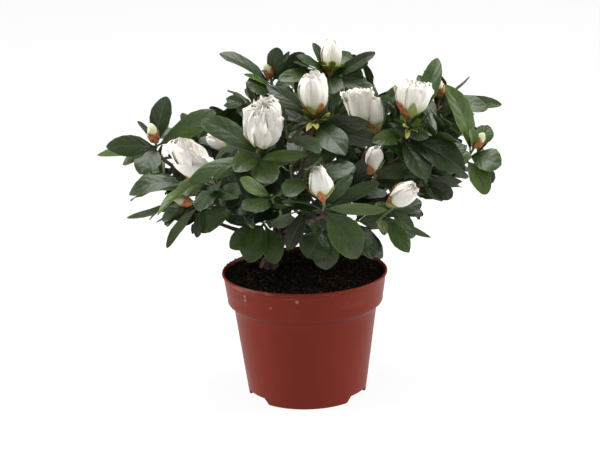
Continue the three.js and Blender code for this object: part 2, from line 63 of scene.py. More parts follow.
# Driving sizes, as in the part's source
POT = SimpleNamespace(
    height=92, rim_radius=60, bead_radius=1.2, collar_top=59, collar_foot=56.4, collar_depth=22,
    shoulder_radius=52, ledge=3.6, base_radius=43, wall=1.5, floor_lift=4.6, pad_radius=16, segments=144,
)
COLLAR_BASE = POT.height - POT.collar_depth
SHOULDER = COLLAR_BASE - POT.ledge
NOTCH = SimpleNamespace(
    count=3, first_angle=-30, depth=14, width=24, height=4.7, foot_share=1.5, top_share=0.9,
)
DRAIN = SimpleNamespace(count=6, ring=27, radius=3.4, sides=24, depth=20)
CHIPS = ((-43.4, -40, 85), (-43.1, -39.8, 82), (-25, -53.2, 80), (-6, -58.6, 86))
COMPOST = SimpleNamespace(top=90.8, edge_drop=0.8, rings=46, segments=180)
CRUMBS = SimpleNamespace(
    lumps=1500, fibres=260, spread=55.6, sizes=(0.5, 0.7, 0.9, 1.3),
    fibre_length=(2.5, 8), fibre_radius=(0.25, 0.6), rim_size=0.7, on_rim=(150, 158, 163, 171, 20, 41),
)
TRUNK = SimpleNamespace(
    foot=(-26, 12, 91.1), fork=(-20, 9, 107), sunk=1.5, flare_rise=0.8, flare_radius=8, foot_radius=6.2,
    waist_radius=5.5, fork_radius=4.8,
)
LEADERS = {"left": (-35, 3, 119), "front": (-15, -9, 122), "right": (-3, 9, 124), "back": (-19, 24, 121)}
LEADER = SimpleNamespace(radius=3.4, tip_radius=2.9, arch=1.5)
BOUGH = SimpleNamespace(
    radius=1.9, tip_radius=1.5, first_share=0.42, last_share=0.85, share_step=0.03, inside=5,
    short_share=0.32, places=9,
)
STEM = SimpleNamespace(lead=4, reach=0.8, steps=5)
TWIG = SimpleNamespace(
    radius=1.25, tip_radius=0.85, sides=7, shoot_run=20, straight=0.7, sag=0.06,
    joins=(0.5, 0.08, 0.92, 0.29, 0.71), join_step=0.618,
)
LEAF = SimpleNamespace(
    length=34, thickness=0.45, spacing=1.7, turn=137.5, turn_play=24, low_opening=98, opening_fall=50,
    opening_play=16, face_limit=-0.35, face_up=(0, -0.8, 0.4), extra=4, room=0.6, first_below=2,
)
# Below `shaded` the face's inner leaves take a darker tint that is painted shade; below `paler` lower
# leaves are more often middling
CROWN = SimpleNamespace(
    middle=(2, 0, 180), reach=(116, 97, 56), heart=(-6, 4, 128), lift=0.55,
    shaded=168, paler=150,
    top=226, fall_left=0.5, fall_right=0.2, floor=132, floor_rise=0.2,
)
FILL = SimpleNamespace(
    outer=90, outer_clear=25, inner=20, inner_scale=0.56, inner_clear=27, jitter=0.16,
    between=70, between_scale=0.8, between_clear=21, leaves=6, bloom_floor=165, bloom_back=10,
    flowers=("cup", "rolled", "candle", "rolled", "bud", "bud"), seed=41,
)
SIDE_SHOOT = SimpleNamespace(shares=(1, 0.75, 0.5), run=24, leaves=5, size=0.8, tip_radius=0.6)
ROSETTE = SimpleNamespace(leaves=15, turn=2.4, reach=2.5, long=15, short=8)
SPIRAL_START = (0.31, -0.95, 0.08)

# The crown's outline that leaves keep to, and how far past their own space they may go
OUTLINE = SimpleNamespace(top=246, fall_left=0.45, fall_right=0.18, floor=104, floor_rise=0.12, overhang=3)

# Largest shares of a leaf and a twig that may hide what the photograph shows, the least share of a
# hidden leaf that lies behind it, and the fewest leaves that a shoot of the rule may keep
HIDING = SimpleNamespace(leaf=0.08, twig=0.25, behind=0.7, fewest=3)

# A leaf is first tried as drawn, then folded up along its shoot and turned about it by these
LEAF_TRIALS = [(fold, turn) for fold in (0, 0.12, 0.24, 0.36, 0.5) for turn in (0, 14, -14, 30, -30)]

# Places of the leaf materials in their list, the last of them a darker tint that is painted shade
MIDDLING, BRIGHT, PALE_LEAF, RIB, GROWTH, PAINTED_SHADE = 2, 3, 4, 5, 6, 8

# Each mass of foliage: the middle of its space, the leader that carries it, and how far its bough
# arches up
MASS_TABLE = (
    ("far_left", (-110, -2, 188), "left", 5),
    ("low_left", (-94, -18, 144), "left", -2),
    ("left", (-64, -26, 184), "left", 2),
    ("back_left", (-72, 56, 174), "left", 2),
    ("front", (-34, -82, 194), "front", 3),
    ("front_low", (16, -96, 160), "front", 2),
    ("under_front", (-16, -44, 124), "front", 0),
    ("upper_front", (10, -52, 214), "front", 2),
    ("heart", (-16, -8, 168), "front", 0),
    ("inner_right", (48, -20, 182), "front", 2),
    ("low_right", (62, -54, 138), "front", 2),
    ("top", (26, 18, 236), "right", 0),
    ("right_front", (86, -46, 196), "right", 2),
    ("right_top", (106, 8, 212), "right", 6),
    ("far_right", (118, 0, 162), "right", -3),
    ("back_right", (68, 68, 182), "right", 2),
    ("top_left", (-34, 40, 222), "back", 2),
    ("back", (-6, 88, 184), "back", 3),
    ("low_back", (10, 58, 140), "back", 0),
)
MASSES = {name: SimpleNamespace(middle=middle, leader=leader, arch=arch)
          for name, middle, leader, arch in MASS_TABLE}
BOUGHLESS = ("under_front", "heart")


def shoot(at, leaves=0, turn=0, flower=None, face=None, lean=None, stalk=1.5, foot=None, growth=False,
          placed=()):
    """One leafy shoot.

    Each placed leaf is its tip, its width and its turn out of the viewer's face, with its tint and
    how far it arches where those aren't the rule's."""
    return SimpleNamespace(at=Vector(at), leaves=leaves, turn=turn, flower=flower, face=face, lean=lean,
                           stalk=stalk, foot=foot, growth=growth, placed=placed, ruled=False, hidden=False,
                           size=1)


# Shoots on the plant's face, left to right and downwards
FACE_SHOOTS = [
    shoot((-104, 0, 190), 1, 250, "bud", lean=(-0.2, 0, 1), placed=[
        (-95, 10, 220, 16, 0), (-116, 4, 204, 5, 20), (-137, -12, 189.5, 16, -25),
        (-146, 4, 180, 10, 10, BRIGHT), (-114, -20, 171, 20, 0), (-128, 2, 173, 12, 20, BRIGHT),
        (-60, 2, 210, 17, 15)]),
    shoot((-66, -49.5, 179), 3, 200, "half", face=(-0.04, 0, 1), foot=(-73.5, -49.5, 174), placed=[
        (-100.5, -53, 150, 13, 35, BRIGHT), (-88.5, -43.5, 161, 14, 0, BRIGHT)]),
    shoot((-85, -29.5, 167), 4, 20, placed=[(-120.5, -37.5, 161, 16, 10, None, 0.15)]),
    shoot((-78, -45.5, 156), 2, 130, "bud", lean=(-0.7, -0.2, 0.3), placed=[
        (-97.5, -49, 144.5, 13, 25), (-94.5, -53, 141.5, 11, 40), (-74, -51, 132.5, 8, 0),
        (-95.5, -47, 124.5, 9, 118, PALE_LEAF, 0.12)]),
    shoot((-92, -17.5, 151.5), 3, 120, lean=(-1, 0, 0.1), placed=[
        (-124.5, -23.5, 140.5, 7, 120, PALE_LEAF, -0.16)]),
    shoot((-45.5, -41.5, 158), 4, 30, placed=[(-73, -49.5, 136.5, 16, 0)]),
    shoot((-30, -72, 197), 2, 80, "double", face=(0.06, -0.55, 1), foot=(-26.5, -71, 202.5), placed=[
        (-76, -84, 181, 14, 0), (-45, -96, 190, 16, 0), (-20, -98, 182, 20, 0),
        (4, -84, 198, 9, 35), (-67, -55, 216, 17, 0, None, 0.14)]),
    shoot((10, -50, 214), 2, 330, "rolled", face=(-0.04, -0.12, 1), stalk=5, growth=True, placed=[
        (46, -62, 213, 12, 35), (55, -58, 199, 13, 20), (29, -80, 196, 20, 0),
        (-23, -40, 236, 11, 0), (-13, -62, 226, 10, 50)]),
    shoot((22, 20, 234), 2, 100, "rolled_small", face=(0.1, 0, 1), stalk=-0.5, growth=True, placed=[
        (10, 26, 253, 8, 0), (-2, 18, 245, 11, 20), (-4, 8, 243, 9, 40), (37, 30, 246, 14, 0),
        (54, 14, 247, 11, 0), (54, 0, 222, 12, 10, None, -0.02), (-15, 0, 232, 13, 0),
        (23, -12, 223, 18, 0)]),
    shoot((51.5, -26, 198), 4, 150, "fluted", face=(-0.12, 0.1, 1), foot=(41.5, -27, 203.5)),
    shoot((59.5, -20, 192), 3, 30, "rolled_small", face=(-0.12, 0, 1), foot=(52.5, -21, 200)),
    shoot((73, -48.5, 206), 2, 0, "cup", face=(0.16, 0.06, 1), stalk=9.5, growth=True, placed=[
        (84, -67.5, 173.5, 19, 0), (110.5, -57.5, 176.5, 24, 0), (86, -61.5, 202, 10, 30),
        (47.5, -63.5, 200, 12, 0, MIDDLING), (83, -17.5, 223, 12, 0),
        (95.5, -21.5, 248.5, 15, 0, MIDDLING)]),
    shoot((101, 15, 214), 3, 60, "bud", face=(-0.25, 0, 1), lean=(0.3, 0.1, 1), placed=[
        (123, 34, 224, 3, 60), (145, 20, 206, 10, 30, MIDDLING), (133, 6, 206, 16, 0, MIDDLING)]),
    shoot((123, -6.5, 182), 2, 0, "bud", lean=(0.5, -0.1, 0.8), placed=[
        (101, -21.5, 229.5, 17, 0, BRIGHT), (134.5, 4.5, 193.5, 14, 0), (140, -17.5, 170, 21, 0),
        (130, -19.5, 150, 15, 10, BRIGHT), (118, -17.5, 197.5, 9, 0, BRIGHT)]),
    shoot((60.5, -69.5, 155), 3, 10, "rolled_small", face=(0.72, -0.35, 0.55),
          foot=(59, -70.5, 159), placed=[
        (81.5, -51.5, 146, 12, 0), (87.5, -53.5, 129, 6, 50, None, -0.05), (74.5, -73.5, 141, 10, 0),
        (71.5, -69.5, 123.5, 14, 0), (54.5, -75.5, 138, 7, 0), (81.5, -47.5, 153, 12, 20),
        (53.5, -57.5, 157, 13, 10)]),
    shoot((87, -23.5, 161.5), 3, 200, lean=(0.3, -0.8, -0.1), placed=[
        (113.5, -7.5, 156.5, 8, 20), (105, -25.5, 150, 13, 0), (94, -11.5, 144.5, 3, 70),
        (57.5, -27.5, 162.5, 15, 0)]),
    shoot((14, -95, 165), 0, 0, "spill", face=(-0.14, -0.05, 1), stalk=6.5, placed=[
        (-24, -92, 166, 11, 35), (-14, -100, 170, 8, 60, PALE_LEAF), (55, -106, 164, 10, 50, BRIGHT),
        (33, -88, 184, 9, 0), (51, -84, 177, 10, 20), (-22, -84, 151, 4, 75),
        (36, -94, 128, 25, 0, MIDDLING)]),
    shoot((13, -55, 137), 0, 0, lean=(0.1, -0.4, 0.2), placed=[
        (2, -66, 120, 24, 0), (15, -58, 109, 20, 0), (4, -48, 142, 9, 20)]),
    shoot((38, -44, 140), 2, 160, lean=(0.4, -0.5, 0.3), placed=[
        (46, -62, 119, 13, 0), (48, -50, 114, 15, 0), (58, -50, 142, 12, 20)]),
    shoot((-29, -35, 139), 1, 310, lean=(-0.1, -0.4, 0.3), placed=[
        (-39, -46, 112, 22, 0), (-52, -36, 120, 16, 0), (-20, -44, 110, 17, 0),
        (-6, -54, 146, 10, 30)]),
    shoot((-21, 45, 226), 2, 30, "bud", face=(-0.3, -0.4, 0.8), placed=[
        (-58, 48, 243, 15, 25, None, 0.08), (-15, 38, 248, 14, 0), (-7, 44, 244, 6, 0),
        (-38, 28, 223, 18, 0), (2, 32, 232, 14, 0), (-40, 34, 230, 5, 0, BRIGHT)]),
    shoot((-40, 38, 208), 5, 140, lean=(-0.6, -0.2, 0.6), placed=[(-54, 40, 211, 9, 0)]),
    shoot((50.5, -47.5, 172.5), 5, 90, "candle", face=(0.2, -0.2, 0.95),
          foot=(47.5, -47.5, 176.5), placed=[
        (77.5, -35.5, 162.5, 15, 0), (75.5, -39.5, 174.5, 12, 10)]),
    shoot((-57, 5, 183), 4, 300, "candle", face=(-0.85, -0.3, 0.45), foot=(-51, -8, 188)),
    shoot((-32, -24, 168), 6, 60),
    shoot((-8, -26, 176), 6, 190),
    shoot((-36, 6, 176), 5, 10),
    shoot((2, 2, 180), 5, 100),
    shoot((-30, -26, 150), 5, 240),
    shoot((4, -22, 150), 7, 40),
    shoot((22, -6, 160), 7, 170),
    shoot((-10, 18, 152), 7, 290),
    shoot((20, 26, 146), 7, 80),
    shoot((-34, 20, 148), 7, 200),
    shoot((-6, -34, 138), 6, 120),
    shoot((34, -22, 148), 6, 260),
]

# The camera stands where the photograph was taken from
CAMERA = SimpleNamespace(
    distance=1300, elevation=15.7, aim=(-2.5, 0, 125.4), roll=-1.46, lens=108.36, sensor=36,
    picture=(600, 450),
)

# Where the white background shows through the crown in the photograph: pixels across and down,
# and a radius
OPENINGS = [
    (308, 160, 5), (332, 164, 6), (251, 188, 3), (293, 214, 4), (282, 231, 5), (315, 228, 4),
    (217, 199, 4), (227, 223, 4), (407, 140, 3), (403, 177, 3), (431, 117, 3), (202, 129, 2),
    (386, 83, 8), (378, 70, 7), (235, 84, 6), (221, 96, 7), (211, 99, 6), (248, 71, 4),
    (397, 77, 7), (418, 70, 5), (410, 72, 6), (449, 78, 5), (452, 207, 8), (464, 197, 6),
    (440, 213, 6), (432, 203, 5), (388, 242, 9), (379, 230, 3), (219, 233, 9), (165, 163, 5),
    (471, 121, 5), (476, 120, 4), (474, 85, 5), (466, 188, 5), (471, 184, 5), (458, 191, 5),
    (492, 181, 4), (426, 199, 3), (205, 103, 4), (220, 104, 3), (371, 66, 5), (376, 78, 5),
    (160, 196, 7), (142, 207, 4), (239, 218, 3), (206, 212, 3),
]


# Selecting, making and handing over pieces

def clear_selection():
    if bpy.context.mode != "OBJECT":
        bpy.ops.object.mode_set(mode="OBJECT")
    bpy.ops.object.select_all(action="DESELECT")


def take(piece):
    clear_selection()
    piece.select_set(True)
    bpy.context.view_layer.objects.active = piece


def settle(piece):
    """Leaves a piece at the origin, unturned and unscaled, with its place in its mesh."""
    take(piece)
    bpy.ops.object.transform_apply(location=True, rotation=True, scale=True)


def apply_modifiers(piece):
    take(piece)
    for name in [modifier.name for modifier in piece.modifiers]:
        bpy.ops.object.modifier_apply(modifier=name)


def dress(piece, material):
    piece.data.materials.clear()
    piece.data.materials.append(material)


def put_in_scene(name, data):
    item = bpy.data.objects.new(name, data)
    bpy.context.scene.collection.objects.link(item)
    return item


def hand_over(piece, slot, *nodes):
    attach(piece, "root")
    if nodes:
        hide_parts(*nodes)


# Materials

VEINS = SimpleNamespace(along=34, slant=22, waver=5, depth=0.15)
STRIPES = SimpleNamespace(count=95, depth=0.25)


def plain_material(name, base, roughness, **values):
    """A principled material. Values name further sockets, with spaces written as underscores."""
    material = bpy.data.materials.new(name)
    material.use_nodes = True
    shader = shader_of(material)
    shader.inputs["Base Color"].default_value = (*base, 1)
    shader.inputs["Roughness"].default_value = roughness
    for socket, value in values.items():
        shader.inputs[socket.replace("_", " ")].default_value = value
    return material


def add_node(material, kind, inputs=None, **settings):
    """Adds a node to a material, or to the world, with its inputs set or linked."""
    node = material.node_tree.nodes.new(kind)
    for name, value in settings.items():
        setattr(node, name, value)
    for name, value in (inputs or {}).items():
        if isinstance(value, bpy.types.NodeSocket):
            material.node_tree.links.new(value, node.inputs[name])
        else:
            node.inputs[name].default_value = value
    return node


def shader_of(material):
    return material.node_tree.nodes["Principled BSDF"]


def link(material, output, socket):
    material.node_tree.links.new(output, shader_of(material).inputs[socket])


def object_places(material, stretch=(1, 1, 1)):
    places = add_node(material, "ShaderNodeTexCoord").outputs["Object"]
    return add_node(material, "ShaderNodeMapping", {"Vector": places, "Scale": stretch}).outputs["Vector"]


def noise_value(material, places, scale, detail=4, roughness=0.55):
    inputs = {"Vector": places, "Scale": scale, "Detail": detail, "Roughness": roughness}
    return add_node(material, "ShaderNodeTexNoise", inputs).outputs["Fac"]


def ramp(material, value, stops):
    """Colours at shares of a value, from low to high."""
    node = add_node(material, "ShaderNodeValToRGB", {"Fac": value})
    elements = node.color_ramp.elements
    while len(elements) < len(stops):
        elements.new(0.5)
    for element, (place, colour) in zip(elements, stops):
        element.position = place
        element.color = (*colour, 1)
    return node.outputs["Color"]


def share_ramp(material, value, *stops):
    """Shares at places along a value, from low to high."""
    return ramp(material, value, [(place, (share,) * 3) for place, share in stops])


def maths(material, operation, first, second=0):
    return add_node(material, "ShaderNodeMath", {0: first, 1: second}, operation=operation).outputs[0]


def remapped(material, value, low, high, first=0, last=1):
    """A value between low and high, as a number between first and last."""
    inputs = {"Value": value, "From Min": low, "From Max": high, "To Min": first, "To Max": last}
    return add_node(material, "ShaderNodeMapRange", inputs).outputs["Result"]


def axes(material, places):
    return add_node(material, "ShaderNodeSeparateXYZ", {"Vector": places}).outputs


def blade_axes(material):
    """How far across a leaf or petal a place is, as X, and how far along it, as Y."""
    return axes(material, add_node(material, "ShaderNodeTexCoord").outputs["UV"])


def mix_colours(material, share, first, second):
    node = add_node(material, "ShaderNodeMix", {"Factor": share}, data_type="RGBA")
    for socket, value in ((node.inputs[6], first), (node.inputs[7], second)):
        if isinstance(value, bpy.types.NodeSocket):
            material.node_tree.links.new(value, socket)
        else:
            socket.default_value = (*value, 1)
    return node.outputs[2]


def bumped(material, height, strength, distance):
    inputs = {"Height": height, "Strength": strength, "Distance": distance}
    link(material, add_node(material, "ShaderNodeBump", inputs).outputs["Normal"], "Normal")


def shades(colour, *shares):
    return [tuple(min(1, part * share) for part in colour) for share in shares]


def leaf_material(name, base, roughness):
    """A leathery blade: a little mottled, with a painted pale edge for light that shows through its thin
    margin, and side veins pressed in.
    """
    material = plain_material(name, base, roughness, Specular_IOR_Level=0.42)
    places = object_places(material)
    way = blade_axes(material)
    low, high, margin = shades(base, 0.75, 1.25, 2.2)
    aside = maths(material, "ABSOLUTE", maths(material, "SUBTRACT", way["X"], 0.5))
    # Painted light: a pale edge along the margin, for light that shows through the thin edge
    rim = share_ramp(material, aside, (0.44, 0), (0.5, 0.7))
    blade = ramp(material, noise_value(material, places, 90, 3), [(0.34, low), (0.68, high)])
    link(material, mix_colours(material, rim, blade, margin), "Base Color")
    slant = maths(material, "SUBTRACT", maths(material, "MULTIPLY", way["Y"], VEINS.along),
                  maths(material, "MULTIPLY", aside, VEINS.slant))
    puckers = noise_value(material, places, 260, 3)
    wave = maths(material, "ADD", slant, maths(material, "MULTIPLY", puckers, VEINS.waver))
    veins = maths(material, "MULTIPLY", maths(material, "SINE", wave), VEINS.depth)
    bumped(material, maths(material, "ADD", veins, puckers), 0.4, 0.0007)
    return material


def petal_material():
    """White petals, yellow-green at the foot and with painted shade towards their tips, finely striped
    along their length.
    """
    material = plain_material(
        "petal_white", (0.86, 0.84, 0.79), 0.6, Specular_IOR_Level=0.2, Sheen_Weight=0.1,
        Sheen_Roughness=0.5, Subsurface_Weight=0.15, Subsurface_Scale=0.001,
        Subsurface_Radius=(1, 1, 0.9))
    places = object_places(material)
    way = blade_axes(material)
    # Past the middle the petals darken towards their tips: painted shade that tempers the top light
    tint = ramp(material, way["Y"], [
        (0.02, (0.30, 0.38, 0.09)), (0.14, (0.58, 0.63, 0.32)), (0.3, (0.86, 0.82, 0.71)),
        (0.6, (0.89, 0.85, 0.77)), (0.9, (0.84, 0.80, 0.73))])
    creamy = share_ramp(material, noise_value(material, places, 160, 3), (0.55, 0), (0.75, 0.3))
    link(material, mix_colours(material, creamy, tint, (0.80, 0.74, 0.64)), "Base Color")
    stripes = maths(material, "SINE", maths(material, "MULTIPLY", way["X"], STRIPES.count))
    crumple = noise_value(material, places, 420, 3)
    height = maths(material, "ADD", maths(material, "MULTIPLY", stripes, STRIPES.depth), crumple)
    bumped(material, height, 0.16, 0.0004)
    return material


def mottled_material(name, colours, scale, roughness, bump=0.3, distance=0.0004, stretch=(1, 1, 1),
                     **values):
    """Colours that drift into one another with a matching relief."""
    material = plain_material(name, colours[0], roughness, **values)
    value = noise_value(material, object_places(material, stretch), scale, 6)
    last = len(colours) - 1
    stops = [(0.32 + 0.36 * step / last, colour) for step, colour in enumerate(colours)]
    link(material, ramp(material, value, stops), "Base Color")
    bumped(material, value, bump, distance)
    return material


def rubbing(material, places):
    """Short pale strokes that lie across the upper part of the collar, as a share."""
    high = remapped(material, axes(material, places)["Z"], 0.076, 0.090)
    strokes = noise_value(material, object_places(material, (0.5, 0.5, 2.4)), 62, 6, 0.7)
    return maths(material, "MULTIPLY", high, share_ramp(material, strokes, (0.56, 0), (0.68, 0.75)))


def chips(material, places):
    """Small pale chips on the collar, as a share."""
    share = 0
    for chip in CHIPS:
        inputs = {0: places, 1: Vector(chip) * MM}
        away = add_node(material, "ShaderNodeVectorMath", inputs, operation="DISTANCE").outputs["Value"]
        edge = maths(material, "LESS_THAN", away, noise_value(material, places, 900, 3))
        near = remapped(material, away, 0.0004, 0.0018, 0.7, 0)
        share = maths(material, "MAXIMUM", maths(material, "MULTIPLY", near, edge), share)
    return share


def painted_collar_shade(material, places):
    """Painted shade: the underside of the collar darkened, as a share."""
    way = remapped(material, axes(material, places)["Z"], 0.06, 0.08)
    return share_ramp(material, way, (0.29, 0), (0.33, 0.6), (0.48, 0.6), (0.51, 0))


def pot_material():
    """Moulded plastic: satin, finely grained, rubbed pale along the rim and in a few scuffs, with painted
    shade under the collar.
    """
    material = plain_material("pot_plastic", (0.18, 0.020, 0.010), 0.4, Specular_IOR_Level=0.1)
    places = object_places(material)
    cloud = noise_value(material, places, 26, 5)
    speck = noise_value(material, object_places(material, (1, 1, 0.35)), 300, 8, 0.7)
    colour = ramp(material, cloud, [(0.3, (0.168, 0.019, 0.009)), (0.7, (0.190, 0.023, 0.012))])
    for share, over in (
            (rubbing(material, places), (0.26, 0.11, 0.085)),
            (share_ramp(material, speck, (0.66, 0), (0.74, 0.65)), (0.32, 0.15, 0.11)),
            (chips(material, places), (0.42, 0.26, 0.20)),
            # Painted shade under the collar
            (painted_collar_shade(material, places), (0.11, 0.012, 0.006))):
        colour = mix_colours(material, share, colour, over)
    link(material, colour, "Base Color")
    link(material, share_ramp(material, cloud, (0.3, 0.36), (0.75, 0.5)), "Roughness")
    bumped(material, noise_value(material, places, 1400, 2), 0.08, 0.0002)
    return material


LEAF_TINTS = [
    leaf_material("leaf_deep", (0.014, 0.027, 0.005), 0.34),
    leaf_material("leaf_dark", (0.021, 0.040, 0.007), 0.36),
    leaf_material("leaf_mid", (0.032, 0.060, 0.008), 0.36),
    leaf_material("leaf_bright", (0.060, 0.105, 0.014), 0.38),
    leaf_material("leaf_underside", (0.060, 0.088, 0.026), 0.62),
    plain_material("leaf_rib", (0.034, 0.054, 0.016), 0.5),
    plain_material("young_growth", (0.20, 0.27, 0.035), 0.5),
    plain_material("young_growth_tip", (0.36, 0.36, 0.08), 0.5),
    # Painted shade: a darker tint for the inner leaves and the low leaves on the face
    leaf_material("leaf_painted_shade", (0.010, 0.019, 0.004), 0.46),
]
BLOOM_TINTS = [
    petal_material(),
    mottled_material("bud_scale_russet", [(0.15, 0.034, 0.012), (0.42, 0.125, 0.036), (0.50, 0.22, 0.08)],
                     500, 0.6),
    mottled_material("bloom_foot_green", [(0.20, 0.24, 0.05), (0.36, 0.38, 0.10)], 300, 0.5),
    mottled_material("bud_tip_pale", [(0.46, 0.50, 0.24), (0.70, 0.68, 0.52)], 260, 0.5),
]
PETAL, SCALE, FOOT, PALE = range(4)
TWIG_TINTS = [
    mottled_material("twig_brown", [(0.045, 0.022, 0.013), (0.12, 0.055, 0.032)], 420, 0.75, 0.5),
    mottled_material("twig_green", [(0.07, 0.085, 0.022), (0.16, 0.17, 0.05)], 380, 0.6, 0.3),
]
BARK = mottled_material("bark", [(0.016, 0.009, 0.006), (0.055, 0.030, 0.019), (0.12, 0.075, 0.050)],
                        260, 0.9, 0.9, 0.0009, (1, 1, 0.35))
YOUNG_BARK = mottled_material("bark_young", [(0.018, 0.011, 0.007), (0.055, 0.030, 0.018)],
                              300, 0.8, 0.7, 0.0006, (1, 1, 0.4))
PEAT_TINTS = [
    mottled_material("peat", [(0.0012, 0.0009, 0.0007), (0.004, 0.0027, 0.002), (0.011, 0.007, 0.0045)],
                     330, 1, 1, 0.0012, Specular_IOR_Level=0.05),
    mottled_material("peat_crumb", [(0.003, 0.0018, 0.0013), (0.014, 0.008, 0.005)], 500, 1, 0.8,
                     Specular_IOR_Level=0.05),
    mottled_material("peat_fibre", [(0.020, 0.010, 0.006), (0.060, 0.028, 0.014)], 500, 0.95, 0.5,
                     Specular_IOR_Level=0.1),
]


# The pot

def pot_profile():
    """Radius and height from the pad's edge, up the outside, over the rim and down to the floor inside."""
    bead = POT.height - POT.bead_radius
    lip = [(POT.rim_radius - POT.bead_radius + POT.bead_radius * math.sin(math.radians(angle)),
            bead - POT.bead_radius * math.cos(math.radians(angle))) for angle in range(0, 181, 20)]
    slope = (POT.shoulder_radius - POT.base_radius) / SHOULDER
    outside = [(POT.base_radius + slope * height, height)
               for height in (0.5, 6, 20, 35, 50, 60, SHOULDER - 0.6)]
    inner = [(radius - POT.wall, height) for radius, height in (
        (POT.collar_top, POT.height - 3), (POT.collar_foot, COLLAR_BASE), (POT.shoulder_radius, SHOULDER))]
    floor = POT.floor_lift + POT.wall
    return [
        (POT.pad_radius, 0), (POT.pad_radius + 2.5, POT.floor_lift),
        (POT.base_radius - 3 * POT.wall, POT.floor_lift), (POT.base_radius - 2.4, 0.2),
        (POT.base_radius - 2, 0), (POT.base_radius - 0.5, 0), *outside,
        (POT.shoulder_radius + 0.4, SHOULDER + 0.2), (POT.collar_foot - 0.5, COLLAR_BASE - 0.5),
        (POT.collar_foot, COLLAR_BASE + 0.4), (POT.collar_foot + 0.2, COLLAR_BASE + 3),
        (POT.collar_top - 0.2, POT.height - 2 * POT.bead_radius - 1),
        (POT.collar_top, POT.height - 2 * POT.bead_radius - 0.3), *lip, *inner,
        (POT.base_radius - POT.wall + 0.8, floor + 2), (POT.base_radius - POT.wall - 1, floor),
        (POT.pad_radius, floor),
    ]


def extrude_rings(name, profile, segments):
    """A turned shape: a filled circle whose outer edge is extruded from ring to ring and capped."""
    clear_selection()
    radius, height = profile[0]
    bpy.ops.mesh.primitive_circle_add(vertices=segments, radius=radius * MM, fill_type="NGON",
                                      location=(0, 0, height * MM))
    piece = bpy.context.object
    piece.name = name
    settle(piece)
    bpy.ops.object.mode_set(mode="EDIT")
    bpy.ops.mesh.select_all(action="SELECT")
    bpy.ops.mesh.region_to_loop()
    for (before, low), (after, high) in zip(profile, profile[1:]):
        bpy.ops.mesh.extrude_region_move(TRANSFORM_OT_translate={"value": (0, 0, (high - low) * MM)})
        share = after / before
        bpy.ops.transform.resize(value=(share, share, 1), center_override=(0, 0, high * MM))
    bpy.ops.mesh.edge_face_add()
    bpy.ops.mesh.select_all(action="SELECT")
    bpy.ops.mesh.normals_make_consistent(inside=False)
    bpy.ops.object.mode_set(mode="OBJECT")
    return piece


def cut_with(piece, cutter):
    """Cuts a piece by another, which is then removed."""
    cut = piece.modifiers.new("cut", "BOOLEAN")
    cut.operation = "DIFFERENCE"
    cut.solver = "EXACT"
    cut.object = cutter
    apply_modifiers(piece)
    bpy.data.objects.remove(cutter)


def round_the_pot(count, first_angle, radius, height):
    """Angles and places that are spaced evenly round the pot's axis."""
    for index in range(count):
        angle = math.radians(first_angle + 360 * index / count)
        yield angle, (radius * math.cos(angle) * MM, radius * math.sin(angle) * MM, height * MM)


def make_pot():
    pot = extrude_rings("pot_shell", pot_profile(), POT.segments)
    for angle, place in round_the_pot(NOTCH.count, NOTCH.first_angle, POT.base_radius, 0):
        clear_selection()
        bpy.ops.mesh.primitive_cube_add(
            size=1, location=place, rotation=(0, 0, angle),
            scale=(NOTCH.depth * MM, NOTCH.width * MM, 2 * NOTCH.height * MM))
        cutter = bpy.context.object
        for vertex in cutter.data.vertices:
            vertex.co.y *= NOTCH.top_share if vertex.co.z > 0 else NOTCH.foot_share
        cut_with(pot, cutter)
    for _, place in round_the_pot(DRAIN.count, 0, DRAIN.ring, POT.floor_lift):
        clear_selection()
        bpy.ops.mesh.primitive_cylinder_add(
            vertices=DRAIN.sides, radius=DRAIN.radius * MM, depth=DRAIN.depth * MM, location=place)
        cut_with(pot, bpy.context.object)
    take(pot)
    bpy.ops.object.shade_smooth_by_angle(angle=math.radians(32))
    dress(pot, pot_material())
    hand_over(pot, "pot_plastic", "pot")


# The compost

def relief(piece, *layers, only=""):
    """Raises and lowers a piece's points along their normals by layers of drifting noise."""
    for index, (size, height) in enumerate(layers):
        texture = bpy.data.textures.new(f"{piece.name}_relief_{index}", "CLOUDS")
        texture.noise_scale = size * MM
        texture.noise_depth = 2
        modifier = piece.modifiers.new(f"relief_{index}", "DISPLACE")
        modifier.texture = texture
        modifier.texture_coords = "LOCAL"
        modifier.vertex_group = only
        modifier.strength = height * MM
        modifier.mid_level = 0.5
    apply_modifiers(piece)


def compost_radius(height):
    """The pot's inner radius at a height, less a hair's clearance."""
    levels = [0, SHOULDER, COLLAR_BASE, POT.height]
    radii = [POT.base_radius, POT.shoulder_radius, POT.collar_foot, POT.collar_top]
    return float(np.interp(height, levels, radii)) - POT.wall - 0.4


def make_compost():
    floor = POT.floor_lift + POT.wall + 0.5
    edge = COMPOST.top - COMPOST.edge_drop
    rings = [(compost_radius(height) - 0.2, height) for height in (floor, SHOULDER, COLLAR_BASE, edge - 1)]
    for step in range(COMPOST.rings):
        radius = compost_radius(edge) - 0.2 - (compost_radius(edge) - 1.2) * step / COMPOST.rings
        rise = COMPOST.edge_drop * min(1, (1 - radius / compost_radius(edge)) * 4)
        rings.append((radius, edge + rise))
    bed = extrude_rings("compost_bed", rings, COMPOST.segments)
    rim = (compost_radius(edge) - 1) * MM
    surface = bed.vertex_groups.new(name="surface")
    surface.add([vertex.index for vertex in bed.data.vertices
                 if vertex.co.z > edge * MM and vertex.co.xy.length < rim], 1, "REPLACE")
    relief(bed, (9, 1.6), (2.6, 2.2), (1.1, 1.2), only="surface")
    take(bed)
    bpy.ops.object.shade_smooth()
    dress(bed, PEAT_TINTS[0])
    hand_over(bed, "compost", "compost")
    return bed


# Small things are gathered as arrays and joined into one mesh for each kind and each mass

